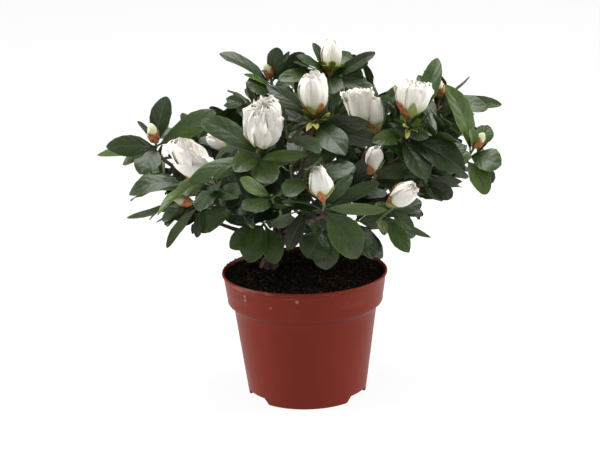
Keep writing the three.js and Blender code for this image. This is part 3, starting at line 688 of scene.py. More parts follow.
class Batch:
    """Points, faces, tints and pattern places of many small shapes."""

    def __init__(self):
        self.points = []
        self.faces = []
        self.tints = []
        self.places = []

    def add(self, points, faces, tints, places):
        start = len(self.points)
        self.points.extend(map(tuple, points))
        self.faces.extend(tuple(start + corner for corner in face) for face in faces)
        self.tints.extend(tints)
        self.places.extend(map(tuple, places))

    def piece(self, name, materials, sharp=60):
        mesh = bpy.data.meshes.new(name)
        mesh.from_pydata((np.array(self.points) * MM).tolist(), [], self.faces)
        for material in materials:
            mesh.materials.append(material)
        mesh.polygons.foreach_set("material_index", self.tints)
        mesh.polygons.foreach_set("use_smooth", [True] * len(self.faces))
        corners = np.empty(len(mesh.loops), int)
        mesh.loops.foreach_get("vertex_index", corners)
        pattern = mesh.uv_layers.new(name="pattern")
        pattern.data.foreach_set("uv", np.array(self.places)[corners].ravel())
        mesh.set_sharp_from_angle(angle=math.radians(sharp))
        mesh.update()
        return put_in_scene(name, mesh)


def one_place(count, along=0.5):
    """The same pattern place for every point of a small shape."""
    return [(0.5, along)] * count


def sheet_faces(columns, rows):
    """Faces of a thin closed sheet: two layers of a grid that share their rim.

    Returns the faces, how many of them are on the upper layer, and the grid places of the
    lower layer's own points."""
    grid = [[row * columns + column for column in range(columns)] for row in range(rows)]
    inside = [(row, column) for row in range(1, rows - 1) for column in range(1, columns - 1)]
    lower = [list(line) for line in grid]
    for index, (row, column) in enumerate(inside):
        lower[row][column] = columns * rows + index
    upper_faces = [(grid[r][c], grid[r][c + 1], grid[r + 1][c + 1], grid[r + 1][c])
                   for r in range(rows - 1) for c in range(columns - 1)]
    lower_faces = [(lower[r][c], lower[r + 1][c], lower[r + 1][c + 1], lower[r][c + 1])
                   for r in range(rows - 1) for c in range(columns - 1)]
    return upper_faces + lower_faces, len(upper_faces), inside


def sheet_points(upper, thickness, inside):
    """Adds the lower layer's points under a grid of upper points, along the grid's own normals."""
    along = np.gradient(upper, axis=0)
    across = np.gradient(upper, axis=1)
    normal = np.cross(across, along)
    normal /= np.maximum(np.linalg.norm(normal, axis=2, keepdims=True), 1e-9)
    below = upper - normal * thickness
    rows, columns = zip(*inside)
    return np.concatenate([upper.reshape(-1, 3), below[list(rows), list(columns)]])


def sheet_places(columns, rows, inside):
    """Pattern places over a sheet, from the shares at which its columns and rows lie."""
    places = np.stack(np.meshgrid(columns, rows), axis=2)
    lower = [places[row, column] for row, column in inside]
    return np.concatenate([places.reshape(-1, 2), lower])


def frame_of(heading, up):
    """Side, heading and face as the columns of a turning matrix."""
    heading = heading.normalized()
    face = (up - heading * up.dot(heading)).normalized()
    return np.array([heading.cross(face), heading, face]).T


def closed_tube(places, radii, sides):
    """Points and faces of a tube along places, with both ends capped."""
    points = []
    faces = []
    side = None
    for step, place in enumerate(places):
        ahead = places[min(step + 1, len(places) - 1)]
        behind = places[max(step - 1, 0)]
        heading = (ahead - behind).normalized()
        if side is None:
            other = Vector((1, 0, 0)) if abs(heading.z) > 0.9 else Vector((0, 0, 1))
            side = other.cross(heading)
        side = (side - heading * side.dot(heading)).normalized()
        third = heading.cross(side)
        for corner in range(sides):
            angle = math.tau * corner / sides
            wide = radii[step] * math.cos(angle)
            deep = radii[step] * math.sin(angle)
            points.append(place + side * wide + third * deep)
    for step in range(len(places) - 1):
        for corner in range(sides):
            a = step * sides + corner
            b = step * sides + (corner + 1) % sides
            faces.append((a, b, b + sides, a + sides))
    last = (len(places) - 1) * sides
    faces.append(tuple(reversed(range(sides))))
    faces.append(tuple(last + corner for corner in range(sides)))
    return points, faces


def raised(place, height):
    return place + Vector((0, 0, height))


def smooth_route(corners, steps):
    """A smooth run of places through a few corners."""
    ends = [corners[0] * 2 - corners[1], *corners, corners[-1] * 2 - corners[-2]]
    route = []
    for first, second, third, fourth in zip(ends, ends[1:], ends[2:], ends[3:]):
        for step in range(steps):
            t = step / steps
            route.append(0.5 * (2 * second + (third - first) * t
                                + (2 * first - 5 * second + 4 * third - fourth) * t ** 2
                                + (3 * second - first - 3 * third + fourth) * t ** 3))
    return [*route, corners[-1]]


def tapered(first, last, count):
    return [first + (last - first) * step / (count - 1) for step in range(count)]


# Loose peat on the compost

def add_lump(batch, place, size, draw, tint):
    """A crumb with six corners, each pulled out by its own amount."""
    ways = [Vector(way) for way in ((1, 0, 0), (0, 1, 0), (-1, 0, 0), (0, -1, 0), (0, 0, 1), (0, 0, -1))]
    turn = Matrix.Rotation(draw.uniform(0, 6.28), 3, Vector([draw.uniform(-1, 1) for _ in range(3)]))
    points = [place + turn @ way * size * draw.uniform(0.6, 1.25) for way in ways]
    faces = [(0, 1, 4), (1, 2, 4), (2, 3, 4), (3, 0, 4), (1, 0, 5), (2, 1, 5), (3, 2, 5), (0, 3, 5)]
    batch.add(points, faces, [tint] * len(faces), one_place(len(points)))


def make_crumbs(bed):
    """Crumbs and bark fibres scattered on the bed, and a few crumbs left on the rim."""
    ground = BVHTree.FromPolygons([vertex.co / MM for vertex in bed.data.vertices],
                                  [face.vertices for face in bed.data.polygons])
    draw = random.Random(7)
    crumbs = Batch()
    for index in range(CRUMBS.lumps + CRUMBS.fibres):
        angle = draw.uniform(0, math.tau)
        radius = CRUMBS.spread * math.sqrt(draw.random())
        above = Vector((radius * math.cos(angle), radius * math.sin(angle), POT.height + 10))
        place = ground.ray_cast(above, Vector((0, 0, -1)))[0]
        if index < CRUMBS.lumps:
            add_lump(crumbs, place, draw.choice(CRUMBS.sizes), draw, draw.choice((0, 0, 0, 1)))
        else:
            way = Vector((math.cos(angle * 7), math.sin(angle * 7), draw.uniform(-0.15, 0.35)))
            length = draw.uniform(*CRUMBS.fibre_length)
            bend = Vector((-way.y, way.x, 0.4)) * draw.uniform(-1, 1)
            route = smooth_route([place - way * length / 2, place + bend, place + way * length / 2], 3)
            route = [step for step in route if step.xy.length < CRUMBS.spread]
            if len(route) > 2:
                radii = tapered(draw.uniform(*CRUMBS.fibre_radius), 0.15, len(route))
                add_tube(crumbs, route, radii, 5, (draw.choice((0, 1, 1)),))
    for angle in CRUMBS.on_rim:
        way = Vector((math.cos(math.radians(angle)), math.sin(math.radians(angle)), 0))
        place = way * (POT.rim_radius - 1)
        add_lump(crumbs, raised(place, POT.height + 0.2), CRUMBS.rim_size, draw, 0)
    piece = crumbs.piece("peat_crumbs", PEAT_TINTS[1:])
    hand_over(piece, "compost", "compost")


# The rule that the plant grows by

def seeded(seed):
    """The source's own run of random numbers."""
    state = seed
    mask = 0xFFFFFFFF

    def draw():
        nonlocal state
        state = (state + 0x6D2B79F5) & mask
        mixed = ((state ^ (state >> 15)) * (state | 1)) & mask
        mixed = ((mixed + ((mixed ^ (mixed >> 7)) * (mixed | 61) & mask)) & mask) ^ mixed
        return (mixed ^ (mixed >> 14)) / 4294967296
    return draw


def nearest_mass(place):
    return min(MASSES, key=lambda name: (Vector(MASSES[name].middle) - place).length)


def in_space(name, place, edge):
    """Whether a place lies nearer to a mass's middle than to any other, by a margin."""
    middle = Vector(MASSES[name].middle)
    for other, mass in MASSES.items():
        away = Vector(mass.middle)
        if other != name:
            room = (place - away).length_squared - (place - middle).length_squared
            if room / (2 * (away - middle).length) < edge:
                return False
    return True


def bough_corners(name):
    """Start, crest and end of a bough's curve, from its leader's tip to its mass."""
    mass = MASSES[name]
    start = Vector(LEADERS[mass.leader])
    middle = Vector(mass.middle)
    share = BOUGH.first_share
    while not in_space(name, start.lerp(middle, share), BOUGH.inside) and share < BOUGH.last_share:
        share += BOUGH.share_step
    if name in BOUGHLESS:
        share = BOUGH.short_share
    end = start.lerp(middle, share)
    return start, raised(start.lerp(end, 0.5), mass.arch), end


def bough_place(corners, share):
    start, crest, end = corners
    return start * (1 - share) ** 2 + crest * 2 * share * (1 - share) + end * share ** 2


def in_crown(at):
    fall = CROWN.fall_left if at.x < 0 else CROWN.fall_right
    outward = math.hypot(at.x, at.y)
    return at.z < CROWN.top - fall * abs(at.x) and at.z > CROWN.floor + CROWN.floor_rise * outward


def fill_shoots():
    """Shoots that fill the crown evenly where the plant's face has none, over three nested shells."""
    draw = seeded(FILL.seed)
    taken = [one.at for one in FACE_SHOOTS]
    shoots = []
    for count, scale, clear, flowering in (
            (FILL.outer, 1, FILL.outer_clear, True),
            (FILL.inner, FILL.inner_scale, FILL.inner_clear, False),
            (FILL.between, FILL.between_scale, FILL.between_clear, False)):
        for index in range(count):
            height = 1 - 2 * (index + 0.5) / count
            angle = index * math.pi * (3 - math.sqrt(5))
            flat = math.sqrt(1 - height * height)
            jitter = [1 + (draw() - 0.5) * FILL.jitter for _ in range(3)]
            way = (math.cos(angle) * flat, math.sin(angle) * flat, height)
            at = Vector([CROWN.middle[axis] + way[axis] * CROWN.reach[axis] * scale * jitter[axis]
                         for axis in range(3)])
            kind = draw()
            turn = draw() * 360
            leaves = FILL.leaves + int(draw() * 3)
            if not in_crown(at) or any((other - at).length < clear for other in taken):
                continue
            taken.append(at)
            which = int(kind * 2 * len(FILL.flowers))
            blooms = (flowering and at.z > FILL.bloom_floor and at.y > FILL.bloom_back
                      and which < len(FILL.flowers))
            one = shoot(at, leaves + LEAF.extra, turn, FILL.flowers[which] if blooms else None)
            one.ruled = True
            shoots.append(one)
    return shoots


def across_of(heading):
    """The way square to a shoot from which turns about it are counted."""
    return Vector(SPIRAL_START).cross(heading).normalized()


def heading_of(one):
    if one.lean:
        return Vector(one.lean).normalized()
    outward = (one.at - Vector(CROWN.heart)).normalized()
    return (outward + Vector((0, 0, CROWN.lift))).normalized()


# What the photograph shows

def camera_matrix():
    """The camera's place and turn, in millimetres."""
    tilt = math.radians(CAMERA.elevation)
    x, y, z = CAMERA.aim
    place = Vector((x, y - CAMERA.distance * math.cos(tilt), z + CAMERA.distance * math.sin(tilt)))
    return (Matrix.Translation(place) @ Matrix.Rotation(math.pi / 2 - tilt, 4, "X")
            @ Matrix.Rotation(math.radians(CAMERA.roll), 4, "Z"))


class Picture:
    """How near to the camera the front of the plant is at each pixel, where the photograph tells."""

    def __init__(self):
        self.turn = np.array(camera_matrix().inverted())
        self.nearest = np.full(CAMERA.picture[::-1], -np.inf)

    def pixels(self, points):
        points = points.reshape(-1, 3) @ self.turn[:3, :3].T + self.turn[:3, 3]
        depth = -points[:, 2]
        wide, high = CAMERA.picture
        focus = CAMERA.lens / CAMERA.sensor * wide
        across = np.clip(wide / 2 + focus * points[:, 0] / depth, 0, wide - 1).astype(int)
        down = np.clip(high / 2 - focus * points[:, 1] / depth, 0, high - 1).astype(int)
        return across, down, depth

    def keep(self, points):
        """Marks what the photograph shows, so that nothing else grows in front of it."""
        across, down, depth = self.pixels(points)
        for x, y, away in zip(across, down, depth):
            known = self.nearest[y, x]
            self.nearest[y, x] = away if known < 0 else min(known, away)

    def keep_open(self, openings):
        rows, columns = np.indices(self.nearest.shape)
        for x, y, radius in openings:
            bare = (np.hypot(columns - x, rows - y) < radius) & (self.nearest < 0)
            self.nearest[bare] = np.inf

    def behind_share(self, points):
        """The share of some points that lie behind what the photograph shows."""
        across, down, depth = self.pixels(points)
        shown = self.nearest[down, across]
        return np.mean((shown > 0) & np.isfinite(shown) & (depth > shown))

    def hidden_share(self, points):
        """The share of some points that would hide what the photograph shows."""
        across, down, depth = self.pixels(points)
        return np.mean(depth < self.nearest[down, across] - 1)


def finer(grid, times):
    """A grid of places with more places between them."""
    for axis in (0, 1):
        count = grid.shape[axis]
        spots = np.linspace(0, count - 1, (count - 1) * times + 1)
        low = np.minimum(spots.astype(int), count - 2)
        share = (spots - low).reshape([-1, 1, 1] if axis == 0 else [1, -1, 1])
        grid = np.take(grid, low, axis) * (1 - share) + np.take(grid, low + 1, axis) * share
    return grid


# Leaves

LEAF_COLUMNS = np.array([-1, -0.55, -0.04, 0.04, 0.55, 1])
LEAF_ROWS = np.array([0, 0.09, 0.2, 0.35, 0.52, 0.69, 0.83, 0.93, 0.98, 1])
LEAF_FACES, LEAF_UPPER, LEAF_INSIDE = sheet_faces(len(LEAF_COLUMNS), len(LEAF_ROWS))
LEAF_PLACES = sheet_places(LEAF_COLUMNS * 0.5 + 0.5, LEAF_ROWS, LEAF_INSIDE)


def leaf_outline(share, look):
    """Width along a leaf as a share of its widest: a short stalk, a blade and a rounded tip."""
    rising = np.clip((share - 0.06) / (look.widest - 0.06), 0, 1)
    falling = np.clip((share - look.widest) / (1 - look.widest), 0, 1)
    width = np.sin(rising * np.pi / 2) ** 0.95 * (1 - falling ** 2.1) ** look.tip
    return np.maximum(width, np.where(share < 0.5, 0.08, 0.06))


def leaf_points(length, width, look):
    """A leaf's upper grid, lying along +Y with its upper side towards +Z."""
    share = LEAF_ROWS[:, None]
    across = LEAF_COLUMNS[None, :]
    half = leaf_outline(share, look) * width / 2
    wave = np.sin(share * 13 + look.phase) * 0.10 * np.abs(across) ** 2 * np.sign(across + look.phase - 3)
    x = half * across * math.cos(math.atan(look.fold)) + look.sway * length * 4 * share * (1 - share)
    y = length * share + 0 * across
    z = half * (look.fold * np.abs(across) - look.curl * across ** 2 + wave)
    z = z + look.arch * length * 4 * share * (1 - share) - np.where(np.abs(across) < 0.1, 0.28, 0)
    turn = look.twist * (share - 0.4)
    return np.stack([x * np.cos(turn) - z * np.sin(turn) * 0.4, y, z + x * np.sin(turn)], axis=2)


def leaf_look(draw, arch=None):
    return SimpleNamespace(
        fold=0.08 + 0.34 * draw(), curl=0.05 + 0.22 * draw(), sway=(draw() - 0.5) * 0.09,
        twist=(draw() - 0.5) * 0.5, phase=draw() * 6.28, tip=0.5 + 0.3 * draw(),
        widest=0.54 + 0.12 * draw(), arch=0.03 + 0.08 * draw() if arch is None else arch)


def leaf_test_tree(points):
    """The blade without its stalk, as a few faces for finding what it passes through."""
    blade = leaf_grid(points)[2:, (0, 2, 5)]
    rows = blade.shape[0]
    faces = [(row * 3 + c, row * 3 + c + 1, row * 3 + c + 4, row * 3 + c + 3)
             for row in range(rows - 1) for c in range(2)]
    return BVHTree.FromPolygons(blade.reshape(-1, 3).tolist(), faces)


class Crowd:
    """All that stands in the crown already, so that a new leaf can be kept clear of it."""

    def __init__(self):
        self.items = []

    def add(self, tree, middle, radius):
        self.items.append((tree, middle, radius))

    def hits(self, tree, middle, radius):
        return any((middle - other).length < radius + reach and tree.overlap(item)
                   for item, other, reach in self.items)


def leaf_parts(leaf):
    grid = leaf_points(leaf.length, leaf.width, leaf.look)
    points = sheet_points(grid, LEAF.thickness, LEAF_INSIDE)
    return points @ frame_of(leaf.heading, leaf.up).T + np.array(leaf.root)


def add_leaf(batch, points, tint, under=PALE_LEAF):
    columns = len(LEAF_COLUMNS) - 1
    tints = []
    for index in range(len(LEAF_FACES)):
        row, column = divmod(index % LEAF_UPPER, columns)
        blade = tint if index < LEAF_UPPER else under
        tints.append(RIB if row == 0 or column == 2 and row < 8 else blade)
    batch.add(points, LEAF_FACES, tints, LEAF_PLACES)


def rule_leaves(one, heading, run, draw):
    """Leaves spiral up a shoot by the golden angle, the widest spread ones lowest."""
    tip = one.at
    across = across_of(heading)
    other = heading.cross(across)
    leaves = []
    for index in range(one.leaves):
        height = index / (one.leaves - 1) if one.leaves > 1 else 0.5
        angle = math.radians(one.turn + index * LEAF.turn + (draw() - 0.5) * LEAF.turn_play)
        opening = math.radians(LEAF.low_opening - LEAF.opening_fall * height
                               + (draw() - 0.5) * LEAF.opening_play)
        length = LEAF.length * (1.08 - 0.34 * height * height) * (0.8 + draw() * 0.3) * one.size
        ray = across * math.cos(angle) + other * math.sin(angle)
        way = heading * math.cos(opening) + ray * math.sin(opening)
        if one.ruled or way.y > LEAF.face_limit:
            width = length * (0.40 + 0.12 * draw())
            leaves.append(SimpleNamespace(opening=opening, end=tip + way * length, width=width, up=heading,
                                          look=leaf_look(draw), placed=False, tint=None, shade=draw(),
                                          hidden=one.hidden))
    for x, y, z, width, roll, *more in one.placed:
        tint, arch = (*more, None, None)[:2]
        end = Vector((x, y, z))
        way = (end - tip).normalized()
        up = Vector(LEAF.face_up) + heading * 0.4
        up = Matrix.Rotation(math.radians(roll), 3, way) @ up
        leaves.append(SimpleNamespace(
            opening=way.angle(heading), end=end, width=width, up=up, placed=True, tint=tint, shade=draw(),
            look=leaf_look(draw, arch or 0.05 + 0.05 * draw()), hidden=False))
    leaves.sort(key=lambda leaf: -leaf.opening)
    for index, leaf in enumerate(leaves):
        below = min(LEAF.first_below + (len(leaves) - 1 - index) * LEAF.spacing, run * 0.9)
        leaf.root = tip - heading * below
        leaf.heading = (leaf.end - leaf.root).normalized()
        leaf.length = (leaf.end - leaf.root).length
    return sorted(leaves, key=lambda leaf: not leaf.placed)


def leaf_trials(leaf, heading):
    """The leaf as drawn, then nudged or folded away from what it would pass through."""
    if leaf.placed:
        for shift in (0, -4, 4, -8, 8, -12, 12):
            end = leaf.end + Vector((0, shift, -0.28 * shift))
            way = end - leaf.root
            yield SimpleNamespace(**{**vars(leaf), "heading": way.normalized(), "length": way.length})
    else:
        for fold, turn in LEAF_TRIALS:
            way = Matrix.Rotation(math.radians(turn), 3, heading) @ leaf.heading
            yield SimpleNamespace(**{**vars(leaf), "heading": way.lerp(heading, fold).normalized(),
                                     "length": leaf.length * (1 - 0.3 * fold)})


def in_reach(points, name):
    """Whether a leaf keeps to its mass's space, the plant's own box and the crown's outline."""
    tip = Vector(points[(LEAF_ROWS.size - 1) * LEAF_COLUMNS.size])
    low, high = cad_box
    fall = OUTLINE.fall_left if tip.x < 0 else OUTLINE.fall_right
    inside = all(low[axis] / MM + 1 < tip[axis] < high[axis] / MM - 1 for axis in range(3))
    return (inside and tip.z < OUTLINE.top - fall * abs(tip.x)
            and tip.z > OUTLINE.floor + OUTLINE.floor_rise * abs(tip.x)
            and in_space(name, tip, -OUTLINE.overhang))


def leaf_grid(points):
    return points[:LEAF_ROWS.size * LEAF_COLUMNS.size].reshape(LEAF_ROWS.size, LEAF_COLUMNS.size, 3)


def fits(leaf, points, name, crowd, picture):
    """The shape that a leaf takes up, if it is clear of everything, or else nothing."""
    blade = leaf_grid(points)[2:]
    if not leaf.placed and (not in_reach(points, name) or picture.hidden_share(blade) > HIDING.leaf):
        return None
    if leaf.hidden and picture.behind_share(blade) < HIDING.behind:
        return None
    tree = leaf_test_tree(points)
    middle = leaf.root + leaf.heading * leaf.length * 0.5
    if crowd.hits(tree, middle, leaf.length * LEAF.room):
        return None
    return tree, middle, leaf.length * LEAF.room


def leaf_tint(leaf, place, shade):
    """A leaf's tint: darkest where painted shade stands in for the crown's shade, and now and then a
    bright one.
    """
    if leaf.tint:
        return leaf.tint
    # Hidden leaves, and the rule's leaves low on the face, take the painted shade
    if leaf.hidden or not leaf.placed and place.y < 0 and place.z < CROWN.shaded:
        return PAINTED_SHADE
    if leaf.shade > 0.95:
        return BRIGHT
    if place.z < CROWN.paler and leaf.shade < 0.55:
        return MIDDLING
    return min(int(shade * 1.3 + leaf.shade * 1.7), MIDDLING)


def grow_leaf(leaf, heading, name, crowd, picture):
    """The points of a leaf at the first trial that fits. A placed leaf stays even where none does."""
    trials = list(leaf_trials(leaf, heading))
    for trial in trials:
        points = leaf_parts(trial)
        taken = fits(trial, points, name, crowd, picture)
        if taken:
            crowd.add(*taken)
            return points
    if leaf.placed:
        points = leaf_parts(trials[0])
        crowd.add(leaf_test_tree(points), leaf.root.lerp(leaf.end, 0.5), leaf.length * LEAF.room)
        return points
    return None


def grow_shoot(mass, one, placed, crowd, picture):
    """Adds the placed leaves of a shoot, or else the ones that follow the rule, with their twig.

    A shoot that the rule added stays bare, and so is left out, where too few of its leaves fit."""
    known = len(crowd.items)
    grown = []
    for leaf in one.own:
        if leaf.placed == placed:
            points = grow_leaf(leaf, one.heading, mass.name, crowd, picture)
            if points is not None:
                grown.append((leaf, points))
    hides = picture.hidden_share(np.array(one.route)) > HIDING.twig
    if one.ruled and not one.flower and (len(grown) < HIDING.fewest or hides):
        del crowd.items[known:]
        return False
    for leaf, points in grown:
        if placed:
            picture.keep(finer(leaf_grid(points)[2:], 5))
        tint = leaf_tint(leaf, leaf.root, one.shade)
        # Leaves with painted shade also have it on their undersides
        add_leaf(mass.leaves, points, tint, PAINTED_SHADE if tint == PAINTED_SHADE else PALE_LEAF)
    if not placed:
        add_tube(mass.twigs, one.route, tapered(*one.girth, len(one.route)), TWIG.sides, (0, 0, 1))
    return True


# Twigs

def twig_route(join, tip, heading, run):
    """Sagging from the stem to the shoot's neck, then straight to its tip."""
    neck = tip - heading * run
    bend = raised(join.lerp(neck, 0.5), -TWIG.sag * (neck - join).length)
    return smooth_route([join, bend, neck, tip], 4)


def add_tube(batch, route, radii, sides, tints):
    points, faces = closed_tube(route, radii, sides)
    rings = len(route) - 1
    marks = [tints[min(len(tints) - 1, index // sides * len(tints) // rings)]
             for index in range(rings * sides)]
    batch.add(points, faces, [*marks, tints[0], tints[-1]], one_place(len(points)))


# Blooms

# Each outline is a petal's radius and height along its length, as shares of the bloom's own
SHUT = ((0.4, 0), (0.82, 0.2), (0.98, 0.45), (0.97, 0.66), (0.8, 0.85), (0.52, 0.97), (0.2, 1))
SPILL = ((0.5, 0), (0.92, 0.2), (1, 0.4), (0.88, 0.62), (0.7, 0.82), (0.56, 0.95), (0.48, 1))
ROLLED = ((0.38, 0), (0.76, 0.2), (0.97, 0.42), (1, 0.62), (0.9, 0.82), (0.74, 0.94), (0.62, 1))
FLUTED = ((0.36, 0), (0.64, 0.2), (0.8, 0.45), (0.88, 0.68), (0.98, 0.85), (1.1, 0.95), (1.16, 1))
FUNNEL = ((0.24, 0), (0.46, 0.2), (0.72, 0.45), (0.94, 0.68), (1.04, 0.85), (1, 0.95), (0.88, 1))
OPEN = ((0.4, 0), (0.74, 0.2), (0.93, 0.45), (1, 0.68), (1.03, 0.85), (0.98, 0.95), (0.88, 1))
ROUND = ((0.4, 0), (0.82, 0.18), (1, 0.42), (1.04, 0.66), (0.98, 0.86), (0.8, 0.97), (0.56, 1))


def bloom(height, radius, outline, spread, ruffle, crumple, uneven, *layers, scales, slant=0):
    """A kind of bloom.

    A layer is how many petals it has, how far out they stand, and how much higher they reach.
    Slant is the share by which the petals fall short on the bloom's right."""
    return SimpleNamespace(height=height, radius=radius, outline=outline, spread=spread, ruffle=ruffle,
                           crumple=crumple, uneven=uneven, layers=layers, slant=slant, scales=scales)


BLOOMS = {
    "candle": bloom(18, 6.2, SHUT, 58, 0.3, 0.6, 0.08,
                    (4, 1, 0), (3, 0.8, 0.3), (2, 0.5, 0.3), scales=3),
    "spill": bloom(21, 7.6, SPILL, 52, 0.4, 0.7, 0.12,
                   (5, 1, 0), (4, 0.76, 0.6), (3, 0.5, 0.8), (2, 0.25, 0.6), scales=4),
    "rolled_small": bloom(22, 7.1, ROLLED, 52, 0.4, 0.6, 0.08,
                          (5, 1, 0), (4, 0.76, 0.2), (3, 0.5, 0.2), (2, 0.25, 0), scales=5),
    "rolled": bloom(27.5, 9.8, ROLLED, 48, 0.5, 0.9, 0.07,
                    (5, 1, 0), (4, 0.8, 0), (4, 0.6, 0.2), (3, 0.4, 0.2), (2, 0.2, 0), scales=6),
    "fluted": bloom(25, 9.8, FLUTED, 46, 0.7, 0.5, 0.06,
                    (6, 1, 0), (5, 0.82, 0), (4, 0.62, 0), (3, 0.42, -0.2), (2, 0.2, -0.4), scales=2),
    "half": bloom(28, 16.5, FUNNEL, 48, 0.35, 0.9, 0.04,
                  (6, 1, 0), (5, 0.84, 0), (5, 0.67, 0), (4, 0.5, 0), (3, 0.33, 0), (2, 0.16, 0),
                  slant=0.72, scales=2),
    "cup": bloom(22, 11.7, OPEN, 44, 0.7, 0.8, 0.1,
                 (6, 1, 0), (5, 0.83, 0.4), (4, 0.65, 0.6), (4, 0.48, 0.6), (3, 0.3, 0.4),
                 (2, 0.14, 0.2), scales=5),
    "double": bloom(36.5, 10.8, ROUND, 42, 1.6, 2.8, 0.4,
                    (8, 1.04, 0), (8, 0.92, 1), (7, 0.78, 2), (6, 0.62, 2.5), (5, 0.45, 3),
                    (4, 0.28, 3), (2, 0.12, 2.5), scales=5),
}
PETAL_COLUMNS = 23
PETAL_ROWS = 11
PETAL_FACES, _, PETAL_INSIDE = sheet_faces(PETAL_COLUMNS, PETAL_ROWS)
SCALE_FACES, _, SCALE_INSIDE = sheet_faces(5, 5)


def drift(across, up, fine, slow, seed):
    """Noise over a petal, as a grid."""
    return np.array([[noise.noise(Vector((c * fine + seed * 3.1, r * slow, seed * 1.7)))
                      for c in across[0]] for r in up[:, 0]])


def petal_grid(kind, middle, scale, lift, seed):
    """One petal wrapped about the upright axis: pleated, crumpled and frilled along its edge."""
    across = np.linspace(-1, 1, PETAL_COLUMNS)[None, :]
    up = np.linspace(0, 1, PETAL_ROWS)[:, None]
    draw = random.Random(seed)
    share = np.linspace(0, 1, len(kind.outline))
    outline = np.array(kind.outline)
    spread = math.radians(kind.spread * draw.uniform(0.9, 1.15)) * (0.8 + 0.2 * up)
    angle = middle + across * spread
    reach = up * (1 - kind.slant * (1 + np.cos(angle)) / 2)
    radius = np.interp(reach, share, outline[:, 0]) * kind.radius * scale
    evenness = draw.uniform(1 - kind.uneven, 1.02)
    height = np.interp(reach, share, outline[:, 1]) * (kind.height + lift) * evenness
    first, second, third = (draw.uniform(0, 6.28) for _ in range(3))
    top = np.clip(up - 0.74, 0, 1) / 0.26
    edge = np.maximum(np.abs(across) ** 6 * np.clip(up * 2 - 0.3, 0, 1), top ** 1.4)
    frill = np.sin(across * 7 + up * 9 + first) + 0.6 * np.sin(across * 13 - up * 8 + second)
    radius = radius + edge * kind.ruffle * frill + across * (0.5 + 0.25 * kind.crumple)
    radius = radius * (1 + draw.uniform(-0.05, 0.07) * up ** 2)
    crumple = drift(across, up, 1.8, 2.4, seed) * 1.2 + drift(across, up, 4.5, 4.6, seed + 9) * 0.9
    radius = np.maximum(radius + crumple * kind.crumple * np.clip(up * 1.6, 0, 1), 0.3)
    height = height * (1 - 0.14 * np.abs(across) ** 3 * up)
    fringe = np.array([draw.uniform(-0.3, 0.3) for _ in range(PETAL_COLUMNS)]) * (up > 0.95)
    height = height + edge * kind.ruffle * 0.7 * np.sin(across * 11 + third) + fringe
    return np.stack([radius * np.cos(angle), radius * np.sin(angle), height], axis=2)


def add_sheet(batch, grid, thickness, faces, inside, tint, turn, foot):
    """Adds a thin closed sheet over a grid, and gives back where the grid then lies."""
    points = sheet_points(grid, thickness, inside) @ turn.T + np.array(foot)
    rows, columns = grid.shape[:2]
    places = sheet_places(np.linspace(0, 1, columns), np.linspace(0, 1, rows), inside)
    batch.add(points, faces, [tint] * len(faces), places)
    return points[:rows * columns].reshape(rows, columns, 3)


def scale_grid(girths, height, length, width, lean, middle):
    """A small pointed bud scale that lies on a body of known radii at known heights."""
    across = np.linspace(-1, 1, 5)[None, :]
    up = np.linspace(0, 1, 5)[:, None]
    levels, radii = girths
    taper = np.sin(np.pi * (0.22 + 0.74 * up)) ** 0.9
    body = np.interp(height + length * up, levels, radii)
    out = body + 0.5 + lean * up ** 2
    angle = middle + across * taper * width / 2 / body
    return np.stack([out * np.cos(angle), out * np.sin(angle), height + length * up + 0 * across], axis=2)


def add_body(batch, places, radii, sides, tint, along):
    """Adds a capped tube of one tint, which takes its pattern from one place along a petal."""
    points, faces = closed_tube(places, radii, sides)
    batch.add(points, faces, [tint] * len(faces), one_place(len(points), along))


def turn_to(heading):
    """A turning matrix that takes +Z to a heading."""
    return np.array(Vector((0, 0, 1)).rotation_difference(heading).to_matrix())


def add_foot(batch, heading, foot, kind, draw):
    """The yellow-green foot of a bloom and the russet scales round it."""
    turn = turn_to(heading)
    radius = kind.radius * kind.outline[0][0]
    rings = [(-3, 0.3), (-1, 0.72), (1.2, 1.02), (3.2, 1.0)]
    add_body(batch, [foot + heading * height for height, _ in rings],
             [radius * share for _, share in rings], 12, FOOT, 0.1)
    girths = ([-3, -1] + [height * kind.height for _, height in kind.outline],
              [radius * 0.4, radius * 0.8] + [wide * kind.radius * 1.07 for wide, _ in kind.outline])
    for index in range(kind.scales):
        middle = index * math.tau / kind.scales + draw.uniform(-0.3, 0.3)
        grid = scale_grid(girths, draw.uniform(-3, 0), draw.uniform(7, 12), draw.uniform(5, 8.5),
                          draw.uniform(0, 1.6), middle)
        tint = SCALE if index % 4 else FOOT
        add_sheet(batch, grid, 0.35, SCALE_FACES, SCALE_INSIDE, tint, turn, foot)


def add_bloom(batch, kind_name, foot, heading, seed, picture):
    """A bloom's layers of petals round its own packed heart, standing on its foot."""
    kind = BLOOMS[kind_name]
    draw = random.Random(seed)
    turn = turn_to(heading)
    start = draw.uniform(0, 6.28)
    for layer, (count, scale, lift) in enumerate(kind.layers):
        for index in range(count):
            middle = start + layer * 0.6 + index * math.tau / count
            grid = petal_grid(kind, middle, scale, lift, seed * 31 + layer * 7 + index)
            placed = add_sheet(batch, grid, 0.3, PETAL_FACES, PETAL_INSIDE, PETAL, turn, foot)
            if layer == 0:
                picture.keep(finer(placed, 4))
    full = 0.84
    low = full - kind.slant / 2
    heart = [(wide * kind.radius * full, high * kind.height * low) for wide, high in kind.outline]
    add_body(batch, [foot + heading * high for _, high in heart], [wide for wide, _ in heart],
             16, PETAL, 0.9)
    add_foot(batch, heading, foot, kind, draw)


